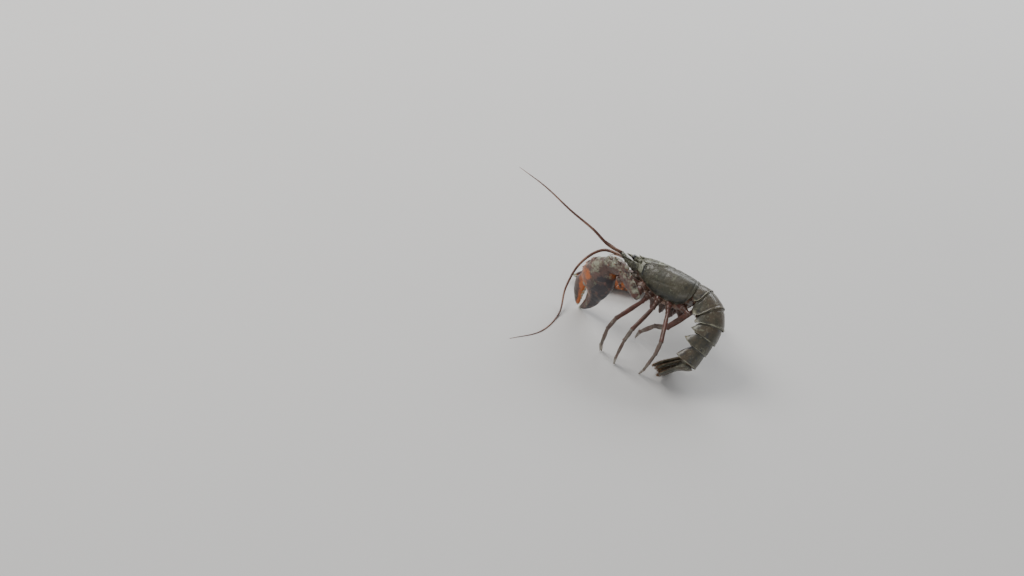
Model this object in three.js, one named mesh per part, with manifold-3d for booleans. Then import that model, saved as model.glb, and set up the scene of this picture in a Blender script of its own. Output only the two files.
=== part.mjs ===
// American lobster, life size, rolled part way onto its right side with the tail tucked under.
// Millimetres, +Z up, resting on the plane z = 0, head towards -X.
import * as THREE from 'three';
import * as BufferGeometryUtils from 'three/addons/utils/BufferGeometryUtils.js';
import Module from 'manifold-3d';

const wasm = await Module();
wasm.setup();

// Driving sizes
const CARAPACE = 86;
const ROSTRUM = 21.5;
const GAP = 0.3;
const TELSON = 38;
const EYE = 3.9;

// Pose of the trunk
const ROLL = 50;
const PITCH = 1;
const YAW = 20;
const AXIS_HEIGHT = 84;

// Trunk sections: distance behind the orbit, half width, height of the back, depth of the belly
const TRUNK = [
  [-3, 7.5, 10, 6],
  [0, 11, 13.4, 9.5],
  [5, 14.5, 15.9, 12.8],
  [14, 18, 18.4, 17.4],
  [29, 21.5, 20.2, 23],
  [46, 23.5, 20.4, 25.8],
  [51, 23.5, 19.7, 25.8],
  [56, 24.8, 20.2, 26],
  [70, 25.5, 19.4, 24.8],
  [80, 24, 18.2, 20.4],
  [CARAPACE, 21.5, 17.2, 14],
];

// Abdomen: length of each somite along its axis and the angle that it bends through
const SOMITES = [
  { length: 12, bend: 14 },
  { length: 18.5, bend: 30 },
  { length: 18.5, bend: 36 },
  { length: 17, bend: 18 },
  { length: 17, bend: 2 },
  { length: 22, bend: -2 },
];
const TELSON_BEND = 34;

const rad = THREE.MathUtils.degToRad;
const vec = (x, y, z) => new THREE.Vector3(x, y, z);
const at = (behind, left, up) => vec(-behind, left, up);
const mix = (a, b, t) => a.clone().lerp(b, t);
const side = { left: 1, right: -1 };

// The trunk's frame in the world: forward, left and back directions
const frame = new THREE.Matrix4()
  .makeRotationZ(rad(180 - YAW))
  .multiply(new THREE.Matrix4().makeRotationY(rad(-PITCH)))
  .multiply(new THREE.Matrix4().makeRotationX(rad(ROLL)));
const pivot = at(CARAPACE / 2, 0, 0);
const turnedPivot = pivot.clone().transformDirection(frame).multiplyScalar(pivot.length());
frame.setPosition(vec(0, 0, AXIS_HEIGHT).sub(turnedPivot));
const worldToTrunk = frame.clone().invert();
const world = (x, y, z) => vec(x, y, z).applyMatrix4(worldToTrunk);
const beside = (x, y, z) => world(x, y, AXIS_HEIGHT + z);
const worldWay = (x, y, z) => vec(x, y, z).transformDirection(worldToTrunk);

// Smooth values between stations, with no overshoot
function smooth(stations, x, column = 1) {
  const last = stations.length - 1;
  if (x <= stations[0][0]) return stations[0][column];
  if (x >= stations[last][0]) return stations[last][column];
  const slope = (k) => {
    const rise = stations[k + 1][column] - stations[k][column];
    return rise / (stations[k + 1][0] - stations[k][0]);
  };
  const tangent = (k) => {
    if (k === 0) return slope(0);
    if (k === last) return slope(last - 1);
    const before = slope(k - 1);
    const after = slope(k);
    return before * after <= 0 ? 0 : (2 * before * after) / (before + after);
  };
  let k = 0;
  while (x > stations[k + 1][0]) k += 1;
  const span = stations[k + 1][0] - stations[k][0];
  const t = (x - stations[k][0]) / span;
  const rise = t * t * (3 - 2 * t);
  return (1 - rise) * stations[k][column] + rise * stations[k + 1][column]
    + span * (t * (1 - t) ** 2 * tangent(k) - t * t * (1 - t) * tangent(k + 1));
}

function spread(from, to, count) {
  return Array.from({ length: count }, (_, k) => from + ((to - from) * k) / (count - 1));
}

// A closed geometry as a solid that can be joined and cut, with its faces outward
function solid(geometry) {
  const bare = geometry.clone();
  for (const name of Object.keys(bare.attributes)) if (name !== 'position') bare.deleteAttribute(name);
  const merged = BufferGeometryUtils.mergeVertices(bare, 1e-4);
  const mesh = new wasm.Mesh({
    numProp: 3,
    vertProperties: Float32Array.from(merged.attributes.position.array),
    triVerts: Uint32Array.from(merged.index.array),
  });
  const made = new wasm.Manifold(mesh);
  if (made.volume() >= 0) return made;
  const turned = new wasm.Mesh({
    numProp: 3,
    vertProperties: mesh.vertProperties,
    triVerts: mesh.triVerts.reverse(),
  });
  return new wasm.Manifold(turned);
}

// A closed skin through one ring a place, with flat ends
function loft(places, sides, section) {
  const geometry = new THREE.SphereGeometry(1, sides, places.length + 1);
  const position = geometry.attributes.position;
  const row = sides + 1;
  const ringPoint = (place, k) => section(place, ((k % sides) / sides) * 2 * Math.PI);
  const middle = (place) => {
    const sum = vec(0, 0, 0);
    for (let k = 0; k < sides; k += 1) sum.add(ringPoint(place, k));
    return sum.divideScalar(sides);
  };
  const ends = [middle(places[0]), middle(places[places.length - 1])];
  for (let i = 0; i < position.count; i += 1) {
    const ring = Math.floor(i / row);
    let point;
    if (ring === 0) point = ends[0];
    else if (ring === places.length + 1) point = ends[1];
    else point = ringPoint(places[ring - 1], i % row);
    position.setXYZ(i, point.x, point.y, point.z);
  }
  return solid(geometry);
}

// One length of a limb: rings as [fraction of the way, half breadth, half thickness]
function limb(from, to, flat, rings, sides = 9) {
  const axis = to.clone().sub(from).normalize();
  const broad = axis.clone().cross(flat).normalize();
  const thin = broad.clone().cross(axis).normalize();
  return loft(rings, sides, ([t, breadth, thickness], angle) => from.clone().lerp(to, t)
    .addScaledVector(broad, breadth * Math.cos(angle))
    .addScaledVector(thin, thickness * Math.sin(angle)));
}

// A spine that stands on a limb: fraction of the way, angle round it, and the breadth and thickness there
function limbSpine(from, to, flat, [t, angle, breadth, thickness], radius, length) {
  const axis = to.clone().sub(from).normalize();
  const broad = axis.clone().cross(flat).normalize();
  const thin = broad.clone().cross(axis).normalize();
  const out = broad.clone().multiplyScalar(Math.cos(angle)).addScaledVector(thin, Math.sin(angle));
  const root = from.clone().lerp(to, t)
    .addScaledVector(broad, breadth * Math.cos(angle))
    .addScaledVector(thin, thickness * Math.sin(angle));
  return spine(root, out.addScaledVector(axis, 0.7), radius, length);
}

function ball(centre, radius, sides = 12, rings = 7) {
  const geometry = new THREE.SphereGeometry(radius, sides, rings);
  geometry.translate(centre.x, centre.y, centre.z);
  return solid(geometry);
}

// A spine of five sides with its root sunk in what carries it
function spine(root, way, radius, length, sink = 0.4) {
  const geometry = new THREE.ConeGeometry(radius, length * (1 + sink), 5);
  const up = way.clone().normalize();
  const turn = new THREE.Quaternion().setFromUnitVectors(vec(0, 1, 0), up);
  geometry.applyQuaternion(turn);
  const middle = root.clone().addScaledVector(up, (length * (1 - sink)) / 2);
  geometry.translate(middle.x, middle.y, middle.z);
  return solid(geometry);
}

const join = (...solids) => wasm.Manifold.union(solids.flat());
const cut = (whole, ...tools) => tools.flat().reduce((rest, tool) => rest.subtract(tool), whole);

// Keeps the side of a plane that the way points to
function keep(whole, point, way, clear = GAP / 2) {
  const normal = way.clone().normalize();
  return whole.trimByPlane(normal.toArray(), normal.dot(point) + clear);
}
const floorUp = worldWay(0, 0, 1);
const onFloor = (whole) => keep(whole, world(0, 0, 0), floorUp, 0);

// The plane half way round a bend in a chain of points
const bendWay = (a, b, c) => b.clone().sub(a).normalize().add(c.clone().sub(b).normalize()).normalize();

// Splits a chain of limb lengths at its bends, each facing the next across the gap
function parted(points, pieces) {
  return pieces.map((piece, k) => {
    let rest = piece;
    if (k > 0) rest = keep(rest, points[k], bendWay(points[k - 1], points[k], points[k + 1]));
    if (k < pieces.length - 1) {
      const way = bendWay(points[k], points[k + 1], points[k + 2]).negate();
      rest = keep(rest, points[k + 1], way);
    }
    return rest;
  });
}

// Trunk surface, with the squarer lower half of a real section
function trunkPoint(s, angle, grow = 0) {
  const across = Math.sin(angle);
  const up = Math.cos(angle);
  const power = up > 0 ? 0.94 : 0.74;
  const height = up > 0 ? smooth(TRUNK, s, 2) : smooth(TRUNK, s, 3);
  return at(
    s,
    Math.sign(across) * Math.abs(across) ** power * (smooth(TRUNK, s, 1) + grow),
    Math.sign(up) * Math.abs(up) ** power * (height + grow),
  );
}

const trunkPlaces = [-3, 0, 4, 9, 15, 22, 30, 39, 46, 51, 56, 64, 72, 80, CARAPACE];

function trunk(grow = 0) {
  const places = [...trunkPlaces];
  places[0] -= grow;
  places[places.length - 1] += grow;
  return loft(places, 24, (s, angle) => trunkPoint(s, angle, grow));
}

// Sternum, the narrow underside between the legs: distance behind the orbit, half width, depth
const STERNUM = [
  [9, 6, 16],
  [16, 8, 21.5],
  [30, 9.5, 26],
  [52, 10.5, 27.6],
  [72, 9.5, 25.6],
  [82, 7.5, 19.5],
];
const STERNUM_TOP = -11;

function sternumSolid(grow = 0) {
  const first = STERNUM[0][0];
  const last = STERNUM[STERNUM.length - 1][0];
  const bulge = (value) => Math.sign(value) * Math.abs(value) ** 0.7;
  return loft(spread(first, last, 9), 10, (s, angle) => {
    const half = smooth(STERNUM, s, 1) + grow;
    const low = -smooth(STERNUM, s, 2) - grow;
    const top = STERNUM_TOP + grow;
    let place = s;
    if (s === first) place -= grow;
    if (s === last) place += grow;
    const up = (top + low) / 2 + (bulge(Math.cos(angle)) * (top - low)) / 2;
    return at(place, bulge(Math.sin(angle)) * half, up);
  });
}

// Rostrum: a flat pointed beak with three pairs of side spines, turned up at its tip
function rostrum() {
  const rings = [
    [14, 9.5, 3.2, 14.2],
    [4, 7, 3, 12.4],
    [-4, 4.6, 2.4, 11.2],
    [-12, 2.9, 1.8, 10.4],
    [-19, 1.6, 1.3, 10.6],
    [-ROSTRUM, 0.35, 0.35, 11.4],
  ];
  const beak = loft(rings, 10, ([s, half, thick, up], angle) => (
    at(s, half * Math.sin(angle), up + thick * Math.cos(angle))
  ));
  const spines = [];
  for (const y of [1, -1]) {
    for (const [s, half, up] of [[-3, 4.4, 11.2], [-9.5, 3, 10.5], [-15.5, 1.9, 10.4]]) {
      spines.push(spine(at(s, y * half, up), vec(0.82, y * 0.5, 0.12), 1.1, 5));
    }
  }
  return [beak, ...spines];
}

// Eyes: the end of each stalk, and the eyeball a little in front of it
const eyeCentre = (y) => at(-5, y * 8.6, 8.8);
const eyeballCentre = (y) => eyeCentre(y).add(vec(1.4, y * 1.2, 0.3));

// Spines of the carapace: above and behind the eye, beside the antenna and on the cheek
function carapaceSpines() {
  const made = [];
  for (const y of [1, -1]) {
    made.push(spine(at(3, y * 8.6, 13), vec(0.9, y * 0.25, 0.2), 1.5, 6));
    made.push(spine(at(4, y * 14.4, 6.8), vec(0.95, y * 0.3, 0.1), 1.7, 6));
    made.push(spine(at(12, y * 15.6, 8.4), vec(0.8, y * 0.6, 0.2), 1.2, 4));
    made.push(spine(at(19, y * 18.2, -1.5), vec(0.8, y * 0.6, 0), 1.2, 4));
  }
  return made;
}

// Places along the abdomen's axis, found by following its bends
function abdomenFrame(distance) {
  let point = at(CARAPACE, 0, 0);
  let turned = 0;
  let left = distance;
  for (const [k, { length, bend }] of SOMITES.entries()) {
    const isLast = k === SOMITES.length - 1;
    const covered = isLast ? left : Math.min(left, length);
    const angle = rad(bend) * Math.min(covered / length, 1);
    const half = turned + angle / 2;
    const chord = angle === 0 ? covered : (covered * Math.sin(angle / 2)) / (angle / 2);
    point = point.clone().add(vec(-Math.cos(half), 0, -Math.sin(half)).multiplyScalar(chord));
    turned += angle;
    left -= covered;
    if (left <= 0) break;
  }
  return {
    point,
    turned,
    along: vec(-Math.cos(turned), 0, -Math.sin(turned)),
    back: vec(-Math.sin(turned), 0, Math.cos(turned)),
  };
}

const somiteStart = (k) => SOMITES.slice(0, k).reduce((sum, { length }) => sum + length, 0);
const abdomenLength = somiteStart(SOMITES.length);
const abdomenHalf = (u) => 20.5 - (4.2 * u) / abdomenLength;
const abdomenBack = (u) => 17 - (4.5 * u) / abdomenLength;
const abdomenBelly = (u) => 8 - (1.5 * u) / abdomenLength;

function abdomenPoint(u, angle, swell) {
  const { point, back } = abdomenFrame(u);
  const across = Math.sin(angle);
  const up = Math.cos(angle);
  const height = up > 0 ? abdomenBack(u) : abdomenBelly(u);
  const power = up > 0 ? 0.95 : 0.8;
  const y = Math.sign(across) * Math.abs(across) ** power * (abdomenHalf(u) + swell);
  const z = Math.sign(up) * Math.abs(up) ** power * (height + swell);
  return point.clone().addScaledVector(back, z).add(vec(0, y, 0));
}

// Side plate of a somite, hanging to a point that leans backwards
function pleuron(k, y) {
  const { length } = SOMITES[k];
  const start = somiteStart(k);
  const middle = start + length * 0.52;
  const half = abdomenHalf(middle);
  const { point, along, back } = abdomenFrame(middle);
  const depth = k === 0 ? 9 : 21 - k * 0.6;
  const lean = k === 0 ? 0 : 2.5;
  const root = point.clone().add(vec(0, y * (half - 2), 0)).addScaledVector(back, 1);
  const edge = point.clone().add(vec(0, y * (half - 1.5), 0));
  const tip = edge.addScaledVector(back, -depth).addScaledVector(along, lean);
  const wide = length * 0.56;
  return limb(root, tip, vec(0, y, 0), [
    [-0.1, wide, 2],
    [0.35, wide * 0.92, 1.7],
    [0.62, wide * 0.72, 1.4],
    [0.84, wide * 0.4, 1.1],
    [1, 0.5, 0.5],
  ], 7);
}

// Swimmerets: a pair of thin paddles under a somite
function swimmerets(k) {
  const middle = somiteStart(k) + SOMITES[k].length * 0.5;
  const { point, along, back } = abdomenFrame(middle);
  return [1, -1].map((y) => {
    const root = point.clone().add(vec(0, y * 9, 0)).addScaledVector(back, -abdomenBelly(middle) + 2.5);
    const tip = root.clone().addScaledVector(back, -10).addScaledVector(along, 3.5).add(vec(0, -y * 2.5, 0));
    return limb(root, tip, along, [[0, 2, 1.4], [0.65, 3, 0.9], [1, 1.4, 0.4]], 5);
  });
}

function somite(k) {
  const start = somiteStart(k);
  const end = start + SOMITES[k].length;
  const places = spread(start - 0.4, end + 0.4, 4);
  const swell = (u) => -0.5 + (1.3 * (u - start)) / (end - start);
  const ring = loft(places, 16, (u, angle) => abdomenPoint(u, angle, swell(u)));
  const pieces = [ring];
  for (const y of [1, -1]) pieces.push(pleuron(k, y));
  if (k < 5) pieces.push(...swimmerets(k));
  const front = abdomenFrame(start);
  const rear = abdomenFrame(end);
  return keep(keep(join(pieces), front.point, front.along), rear.point, rear.along.clone().negate());
}

// Tail fan: the telson in the middle and two blades each side, folded partly under it
const fanStart = abdomenFrame(abdomenLength);
const fanTurn = fanStart.turned + rad(TELSON_BEND);
const fanAlong = vec(-Math.cos(fanTurn), 0, -Math.sin(fanTurn));
const fanBack = vec(-Math.sin(fanTurn), 0, Math.cos(fanTurn));

function fanPlace(along, left, up) {
  return fanStart.point.clone()
    .addScaledVector(fanAlong, along)
    .addScaledVector(fanBack, up)
    .add(vec(0, left, 0));
}

function blade(root, tip, half, thick) {
  return limb(root, tip, fanBack, [
    [-0.04, half * 0.42, thick * 1.2],
    [0.12, half * 0.6, thick * 1.15],
    [0.35, half * 0.86, thick],
    [0.62, half, thick * 0.85],
    [0.82, half * 0.92, thick * 0.7],
    [0.95, half * 0.62, thick * 0.5],
    [1, half * 0.28, thick * 0.4],
  ], 10);
}

// A low rib along the back of a blade, from its root to near its tip
function rib(root, tip, lift, half) {
  const raised = [root, tip].map((point) => point.clone().addScaledVector(fanBack, lift));
  const rings = [[0.1, half, 0.75], [0.5, half * 0.8, 0.65], [0.86, half * 0.5, 0.4]];
  return limb(raised[0], raised[1], fanBack, rings, 5);
}

function telson() {
  const root = fanPlace(0, 0, 1.5);
  const tip = fanPlace(TELSON, 0, 1.5);
  const plate = limb(root, tip, fanBack, [
    [-0.08, 9.5, 3.2],
    [0.1, 12.5, 2.9],
    [0.45, 12.4, 2.1],
    [0.8, 11, 1.6],
    [0.94, 8.8, 1.2],
    [1, 5.5, 0.8],
  ], 12);
  const ribs = [6, -6].map((y) => rib(fanPlace(4, y, 3.6), fanPlace(TELSON - 3, y * 0.8, 2.3), 0, 1.3));
  const corners = [1, -1].map((y) => {
    const way = fanAlong.clone().add(vec(0, y * 0.35, 0));
    return spine(fanPlace(TELSON * 0.86, y * 10, 1.5), way, 1, 3);
  });
  return keep(join(plate, ribs, corners), fanStart.point, fanStart.along);
}

// The blades beside the telson: how far under it and to its side, the angle out, length and half width
const UROPOD = {
  inner: { drop: -3.6, left: 10, lean: 8, length: 34, half: 8.8 },
  outer: { drop: -7, left: 11.5, lean: 15, length: 36, half: 9.6 },
};

function uropod(y, outer) {
  const { drop, left, lean, length, half } = outer ? UROPOD.outer : UROPOD.inner;
  const root = fanPlace(2, y * left, drop);
  const reach = length * Math.cos(rad(lean));
  const tip = fanPlace(2 + reach, y * (left + length * Math.sin(rad(lean))), drop - 1.2);
  const pieces = [blade(root, tip, half, 1.25), rib(root, tip, 0.9, 1.1)];
  if (outer) {
    const across = tip.clone().sub(root).cross(fanBack).normalize();
    for (const k of [-2, -1, 0, 1, 2]) {
      const spot = mix(root, tip, 0.76 - 0.016 * k * k).addScaledVector(across, k * 3);
      pieces.push(spine(spot.addScaledVector(fanBack, 0.7), tip.clone().sub(root), 0.7, 2.4, 0.5));
    }
  }
  return onFloor(keep(join(pieces), fanStart.point, fanStart.along));
}

// Antenna: a stout base of three lengths with a pointed scale, then a long whip in two lengths
const WHIP = { root: 2, tip: 0.26, split: 0.46 };

function flagellumCurve(y) {
  const base = antennaPoints(y)[3];
  const points = y > 0
    ? [
      base, beside(-82, 12, 30), beside(-104, 2, 58),
      beside(-134, -4, 84), beside(-170, 4, 106), beside(-210, 26, 112),
    ]
    : [
      base, beside(-90, 46, -8), world(-118, 44, 46), world(-130, 22, 18),
      world(-130, -14, 2.4), world(-146, -54, 0.55), world(-182, -80, 0.15),
    ];
  return new THREE.CatmullRomCurve3(points);
}

function antennaPoints(y) {
  return [at(0, y * 11, -1), at(-9, y * 12.5, 0), at(-16, y * 13, 3), at(-24, y * 13, 7)];
}

function antennaBase(y) {
  const points = antennaPoints(y);
  const up = vec(0, 0, 1);
  const lengths = [
    limb(points[0], points[1], up, [[-0.3, 4.6, 5], [0.3, 5.4, 5], [0.9, 4.8, 4.4], [1.1, 4, 3.8]], 8),
    limb(points[1], points[2], up, [[-0.1, 3.8, 3.6], [0.4, 4.2, 3.8], [1.1, 3.4, 3.2]], 8),
    limb(points[2], points[3], up, [[-0.1, 3, 2.9], [0.5, 3.3, 3.1], [1.1, 2.5, 2.4]], 7),
  ];
  const trimmed = keep(join(lengths), points[3], points[3].clone().sub(points[2]).negate());
  const scaleRings = [[-0.1, 2.4, 1.3], [0.3, 3.1, 1.1], [0.75, 2.3, 0.8], [1, 0.4, 0.4]];
  const scale = limb(at(-4, y * 15, 2.5), at(-21, y * 17, 4), up, scaleRings, 7);
  return join(trimmed, scale);
}

// One length of the whip, which thins evenly to its tip
function flagellum(y, from, to, count) {
  const curve = flagellumCurve(y);
  const radius = (t) => WHIP.root * (1 - t) ** 0.8 + WHIP.tip;
  const places = spread(from, to, count).map((t) => Math.min(t, 1));
  const whip = loft(places, 6, (t, angle) => {
    const way = curve.getTangentAt(t);
    const across = way.clone().cross(vec(0.1, 0.2, 1)).normalize();
    const up = across.clone().cross(way).normalize();
    return curve.getPointAt(t)
      .addScaledVector(across, radius(t) * Math.cos(angle))
      .addScaledVector(up, radius(t) * Math.sin(angle));
  });
  if (from === 0) {
    const [, , before, end] = antennaPoints(y);
    return keep(whip, end, end.clone().sub(before));
  }
  return onFloor(keep(whip, curve.getPointAt(from), curve.getTangentAt(from), GAP));
}

// Antennule: a slim base with two short whips
function antennule(y) {
  const root = at(-1, y * 4.2, 3);
  const end = at(-17, y * 6, 4);
  const rings = [[-0.15, 2.4, 2.4], [0.3, 2.2, 2.2], [0.7, 1.8, 1.8], [1, 1.4, 1.4]];
  const base = limb(root, end, vec(0, 0, 1), rings, 8);
  const whips = [[-52, 14, 12], [-46, 10, 1]].map(([s, left, up]) => {
    const middle = mix(end, at(s, y * left, up), 0.5).add(vec(0, y * -1.5, 1.5));
    const curve = new THREE.CatmullRomCurve3([mix(root, end, 0.9), middle, at(s, y * left, up)]);
    const radius = (t) => 0.85 - 0.55 * t;
    return loft(spread(0, 1, 6), 5, (t, angle) => curve.getPointAt(t)
      .addScaledVector(vec(0, 1, 0), radius(t) * Math.cos(angle))
      .addScaledVector(vec(0, 0, 1), radius(t) * Math.sin(angle)));
  });
  return join(base, whips);
}

// Third maxilliped: a leg-like mouthpart lying forward under the head
function maxillipedPoints(y) {
  return [
    at(15, y * 6.5, -20.5),
    at(-3, y * 7, -19.5),
    at(-10, y * 6.5, -16.5),
    at(-16, y * 5.5, -19),
    at(-18, y * 4.8, -24),
  ];
}

function maxilliped(y) {
  const points = maxillipedPoints(y);
  const out = vec(0, y, 0);
  return join([
    limb(points[0], points[1], out, [[-0.1, 4.2, 2.6], [0.4, 4.6, 2.8], [1.05, 3.6, 2.4]], 7),
    limb(points[1], points[2], out, [[-0.2, 3.2, 2.2], [0.5, 3.6, 2.3], [1.1, 2.7, 2]], 6),
    limb(points[2], points[3], out, [[-0.2, 2.4, 1.9], [0.5, 2.7, 1.9], [1.1, 2, 1.6]], 6),
    limb(points[3], points[4], out, [[-0.3, 1.7, 1.5], [0.5, 1.6, 1.3], [1, 0.4, 0.4]], 6),
  ]);
}

// Where the knee of a two-length limb comes, towards a given way
function knee(root, foot, upper, lower, towards) {
  const line = foot.clone().sub(root);
  const distance = Math.min(line.length(), (upper + lower) * 0.995);
  const way = line.normalize();
  const reach = (upper ** 2 - lower ** 2 + distance ** 2) / (2 * distance);
  const off = towards.clone().addScaledVector(way, -towards.dot(way)).normalize();
  const height = Math.sqrt(Math.max(upper ** 2 - reach ** 2, 0));
  return root.clone().addScaledVector(way, reach).addScaledVector(off, height);
}

// Walking legs: where each leaves the trunk, its foot on the floor, the way its knee points and its hip's way
const LEGS = {
  left: [
    { root: 36, foot: [-62, -64], knee: [-0.5, -0.6, 0.75], hip: [0.1, 0.55, -0.8], nips: true },
    { root: 47, foot: [-42, -82], knee: [-0.2, -0.6, 0.8], hip: [-0.1, 0.5, -0.84], nips: true },
    { root: 59, foot: [-9, -90], knee: [0.35, -0.5, 0.8], hip: [-0.4, 0.5, -0.8], nips: false },
    {
      root: 71, foot: [-24, -26], knee: [0.5, -0.8, 0.1], arch: [-0.5, 0.1, 0.8], hip: [-0.9, 0.45, -0.4],
      nips: false,
    },
  ],
  right: [
    { root: 35, foot: [22, 62], knee: [0, 0.5, 0.9], hip: [0, 0.8, -0.6], nips: true },
    { root: 47, foot: [40, 58], knee: [0.1, 0.5, 0.9], hip: [-0.05, 0.8, -0.6], nips: true },
    { root: 59, foot: [58, 48], knee: [0.2, 0.5, 0.9], hip: [-0.15, 0.8, -0.6], nips: false },
    { root: 71, foot: [74, 32], knee: [0.4, 0.5, 0.8], hip: [-0.3, 0.8, -0.6], nips: false },
  ],
};
const LEG = { hip: 26, merus: 40, carpus: 17, propodus: 32, dactyl: 15 };
const LEG_ROOT = { left: 5, depth: 18 };
const TOE_SINK = 0.7;
// Straight way from knee to toe, as a share of the three lengths between them
const LEG_STRETCH = 0.95;

function legPoints(which, k) {
  const { root, foot, knee: kneeWay, arch = kneeWay, hip } = LEGS[which][k];
  const y = side[which];
  const start = at(root, y * LEG_ROOT.left, -LEG_ROOT.depth);
  const hipEnd = start.clone().addScaledVector(vec(hip[0], hip[1] * y, hip[2]).normalize(), LEG.hip);
  const toe = world(foot[0], foot[1], -TOE_SINK);
  const lower = LEG.carpus + LEG.propodus + LEG.dactyl;
  const bend = knee(hipEnd, toe, LEG.merus, lower * LEG_STRETCH, worldWay(...kneeWay));
  const down = toe.clone().sub(bend).normalize();
  const archWay = worldWay(...arch);
  const bulge = archWay.addScaledVector(down, -archWay.dot(down)).normalize();
  const bow = lower * Math.sqrt((LEG_STRETCH * (1 - LEG_STRETCH)) / 3.3);
  const wrist = mix(bend, toe, LEG.carpus / lower).addScaledVector(bulge, bow);
  const ankle = mix(bend, toe, (LEG.carpus + LEG.propodus) / lower).addScaledVector(bulge, bow * 0.8);
  return [start, hipEnd, bend, wrist, ankle, toe];
}

function legUpper(which, k, body) {
  const [start, hipEnd, bend, wrist] = legPoints(which, k);
  const flat = bend.clone().sub(hipEnd).cross(wrist.clone().sub(bend)).normalize();
  const hipRings = [[0, 4.6, 4.4], [0.45, 5, 4.6], [0.8, 4, 3.4], [1.08, 3.2, 2.6]];
  const merusRings = [[-0.12, 3, 2.4], [0.1, 3.7, 2.7], [0.6, 4, 2.8], [1.06, 3.4, 2.5]];
  const hip = limb(start, hipEnd, flat, hipRings, 7);
  const merus = limb(hipEnd, bend, flat, merusRings, 7);
  const whole = keep(join(hip, merus), bend, bendWay(hipEnd, bend, wrist).negate());
  return cut(whole, body);
}

function legLower(which, k) {
  const [, hipEnd, bend, wrist, ankle, toe] = legPoints(which, k);
  const flat = bend.clone().sub(hipEnd).cross(wrist.clone().sub(bend)).normalize();
  const pieces = [
    limb(bend, wrist, flat, [[-0.15, 2.9, 2.2], [0.5, 3.6, 2.6], [1.08, 2.8, 2.1]], 7),
    limb(wrist, ankle, flat, [[-0.08, 2.6, 2], [0.2, 3.1, 2.1], [1.05, 2.4, 1.7]], 7),
    limb(ankle, toe, flat, [[-0.1, 2, 1.5], [0.5, 1.6, 1.2], [1, 0.75, 0.7]], 5),
  ];
  if (LEGS[which][k].nips) {
    const across = flat.clone().cross(toe.clone().sub(ankle)).normalize();
    const nip = mix(ankle, toe, 0.86).addScaledVector(across, -2.6);
    const stem = mix(ankle, toe, -0.15).addScaledVector(across, -0.8);
    pieces.push(limb(stem, nip, flat, [[0, 1.6, 1.3], [0.5, 1.2, 1], [1, 0.5, 0.5]], 5));
  }
  const whole = keep(join(pieces), bend, bendWay(hipEnd, bend, wrist));
  return onFloor(whole);
}

// Claws: each chain runs from the trunk through the upper arm and wrist to the hand
const CLAWS = {
  left: {
    points: [
      at(22, 12, -18),
      beside(-34, -33, -4),
      beside(-59, -13, 17),
      beside(-76, -5, 14),
      world(-114, 12, -12.5),
    ],
    face: worldWay(-0.46, -0.88, -0.14),
    size: 0.9,
    crusher: true,
  },
  right: {
    points: [
      at(22, -12, -18),
      world(-15, 24, 44),
      world(-8, 62, 25),
      world(-22, 76, 13.6),
      world(-122, 64, 7),
    ],
    face: worldWay(0.05, 0.05, 1),
    size: 0.9,
    crusher: false,
  },
};

// The hand's own axes: along it, across its breadth towards the moving finger, and through its thickness
function handAxes(which) {
  const { points, face } = CLAWS[which];
  const along = points[4].clone().sub(points[3]).normalize();
  const across = face.clone().cross(along).normalize().multiplyScalar(-side[which]);
  const through = along.clone().cross(across).normalize();
  return { origin: points[3], along, across, through };
}

// Hand sections: distance from the wrist, shift across, half breadth, half thickness
const CRUSHER = {
  palm: [
    [-3, 2, 7, 7], [5, 2, 14, 10.5], [18, 1, 22.5, 14.5], [36, 0, 26, 15.5], [52, -1.5, 25, 14.5],
    [60, -7, 18.5, 13], [68, -11.5, 12.5, 11], [84, -12.5, 9.5, 8.5], [100, -10, 6.5, 6],
    [111, -5.5, 3, 3], [115, -3, 0.8, 0.8],
  ],
  finger: [
    [51, 14, 5, 7], [56, 15, 9, 9], [68, 16, 10, 9.5], [84, 13, 8.5, 7.5], [100, 7.5, 6, 5],
    [109, 3.5, 3.5, 3], [113, 1.5, 0.8, 0.8],
  ],
  teeth: [[66, 3.2], [74, 3.7], [82, 3.1], [89, 2.5], [96, 2], [102, 1.5]],
};
const CUTTER = {
  palm: [
    [-3, 2, 6.5, 6.5], [5, 2, 12, 9], [18, 1, 18, 12], [36, 0, 20.5, 13], [50, -1, 20, 12],
    [58, -5.5, 14.5, 10.5], [66, -9, 9.5, 8.5], [84, -9.5, 7, 6.5], [102, -7.5, 4.8, 4.5],
    [113, -3.5, 2.4, 2.4], [118, -1.5, 0.7, 0.7],
  ],
  finger: [
    [49, 11.5, 4, 6], [55, 12, 7, 7.5], [68, 12, 7.4, 7.5], [86, 9, 6, 6], [104, 4.5, 4, 4],
    [113, 1.8, 2.2, 2.2], [117, 0.8, 0.6, 0.6],
  ],
  teeth: [[64, 1.6], [70, 2.1], [76, 1.5], [82, 2.1], [88, 1.5], [94, 1.8], [100, 1.3], [106, 1.1]],
};
const handShape = (which) => (CLAWS[which].crusher ? CRUSHER : CUTTER);

function handPoint(which, along, across, through) {
  const axes = handAxes(which);
  const { size } = CLAWS[which];
  return axes.origin.clone()
    .addScaledVector(axes.along, along * size)
    .addScaledVector(axes.across, across * size)
    .addScaledVector(axes.through, through * size);
}

function handLoft(which, stations, sides, grow = 0) {
  return loft(stations, sides, ([u, shift, half, thick], angle) => handPoint(
    which, u, shift + (half + grow) * Math.cos(angle), (thick + grow) * Math.sin(angle),
  ));
}

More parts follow.
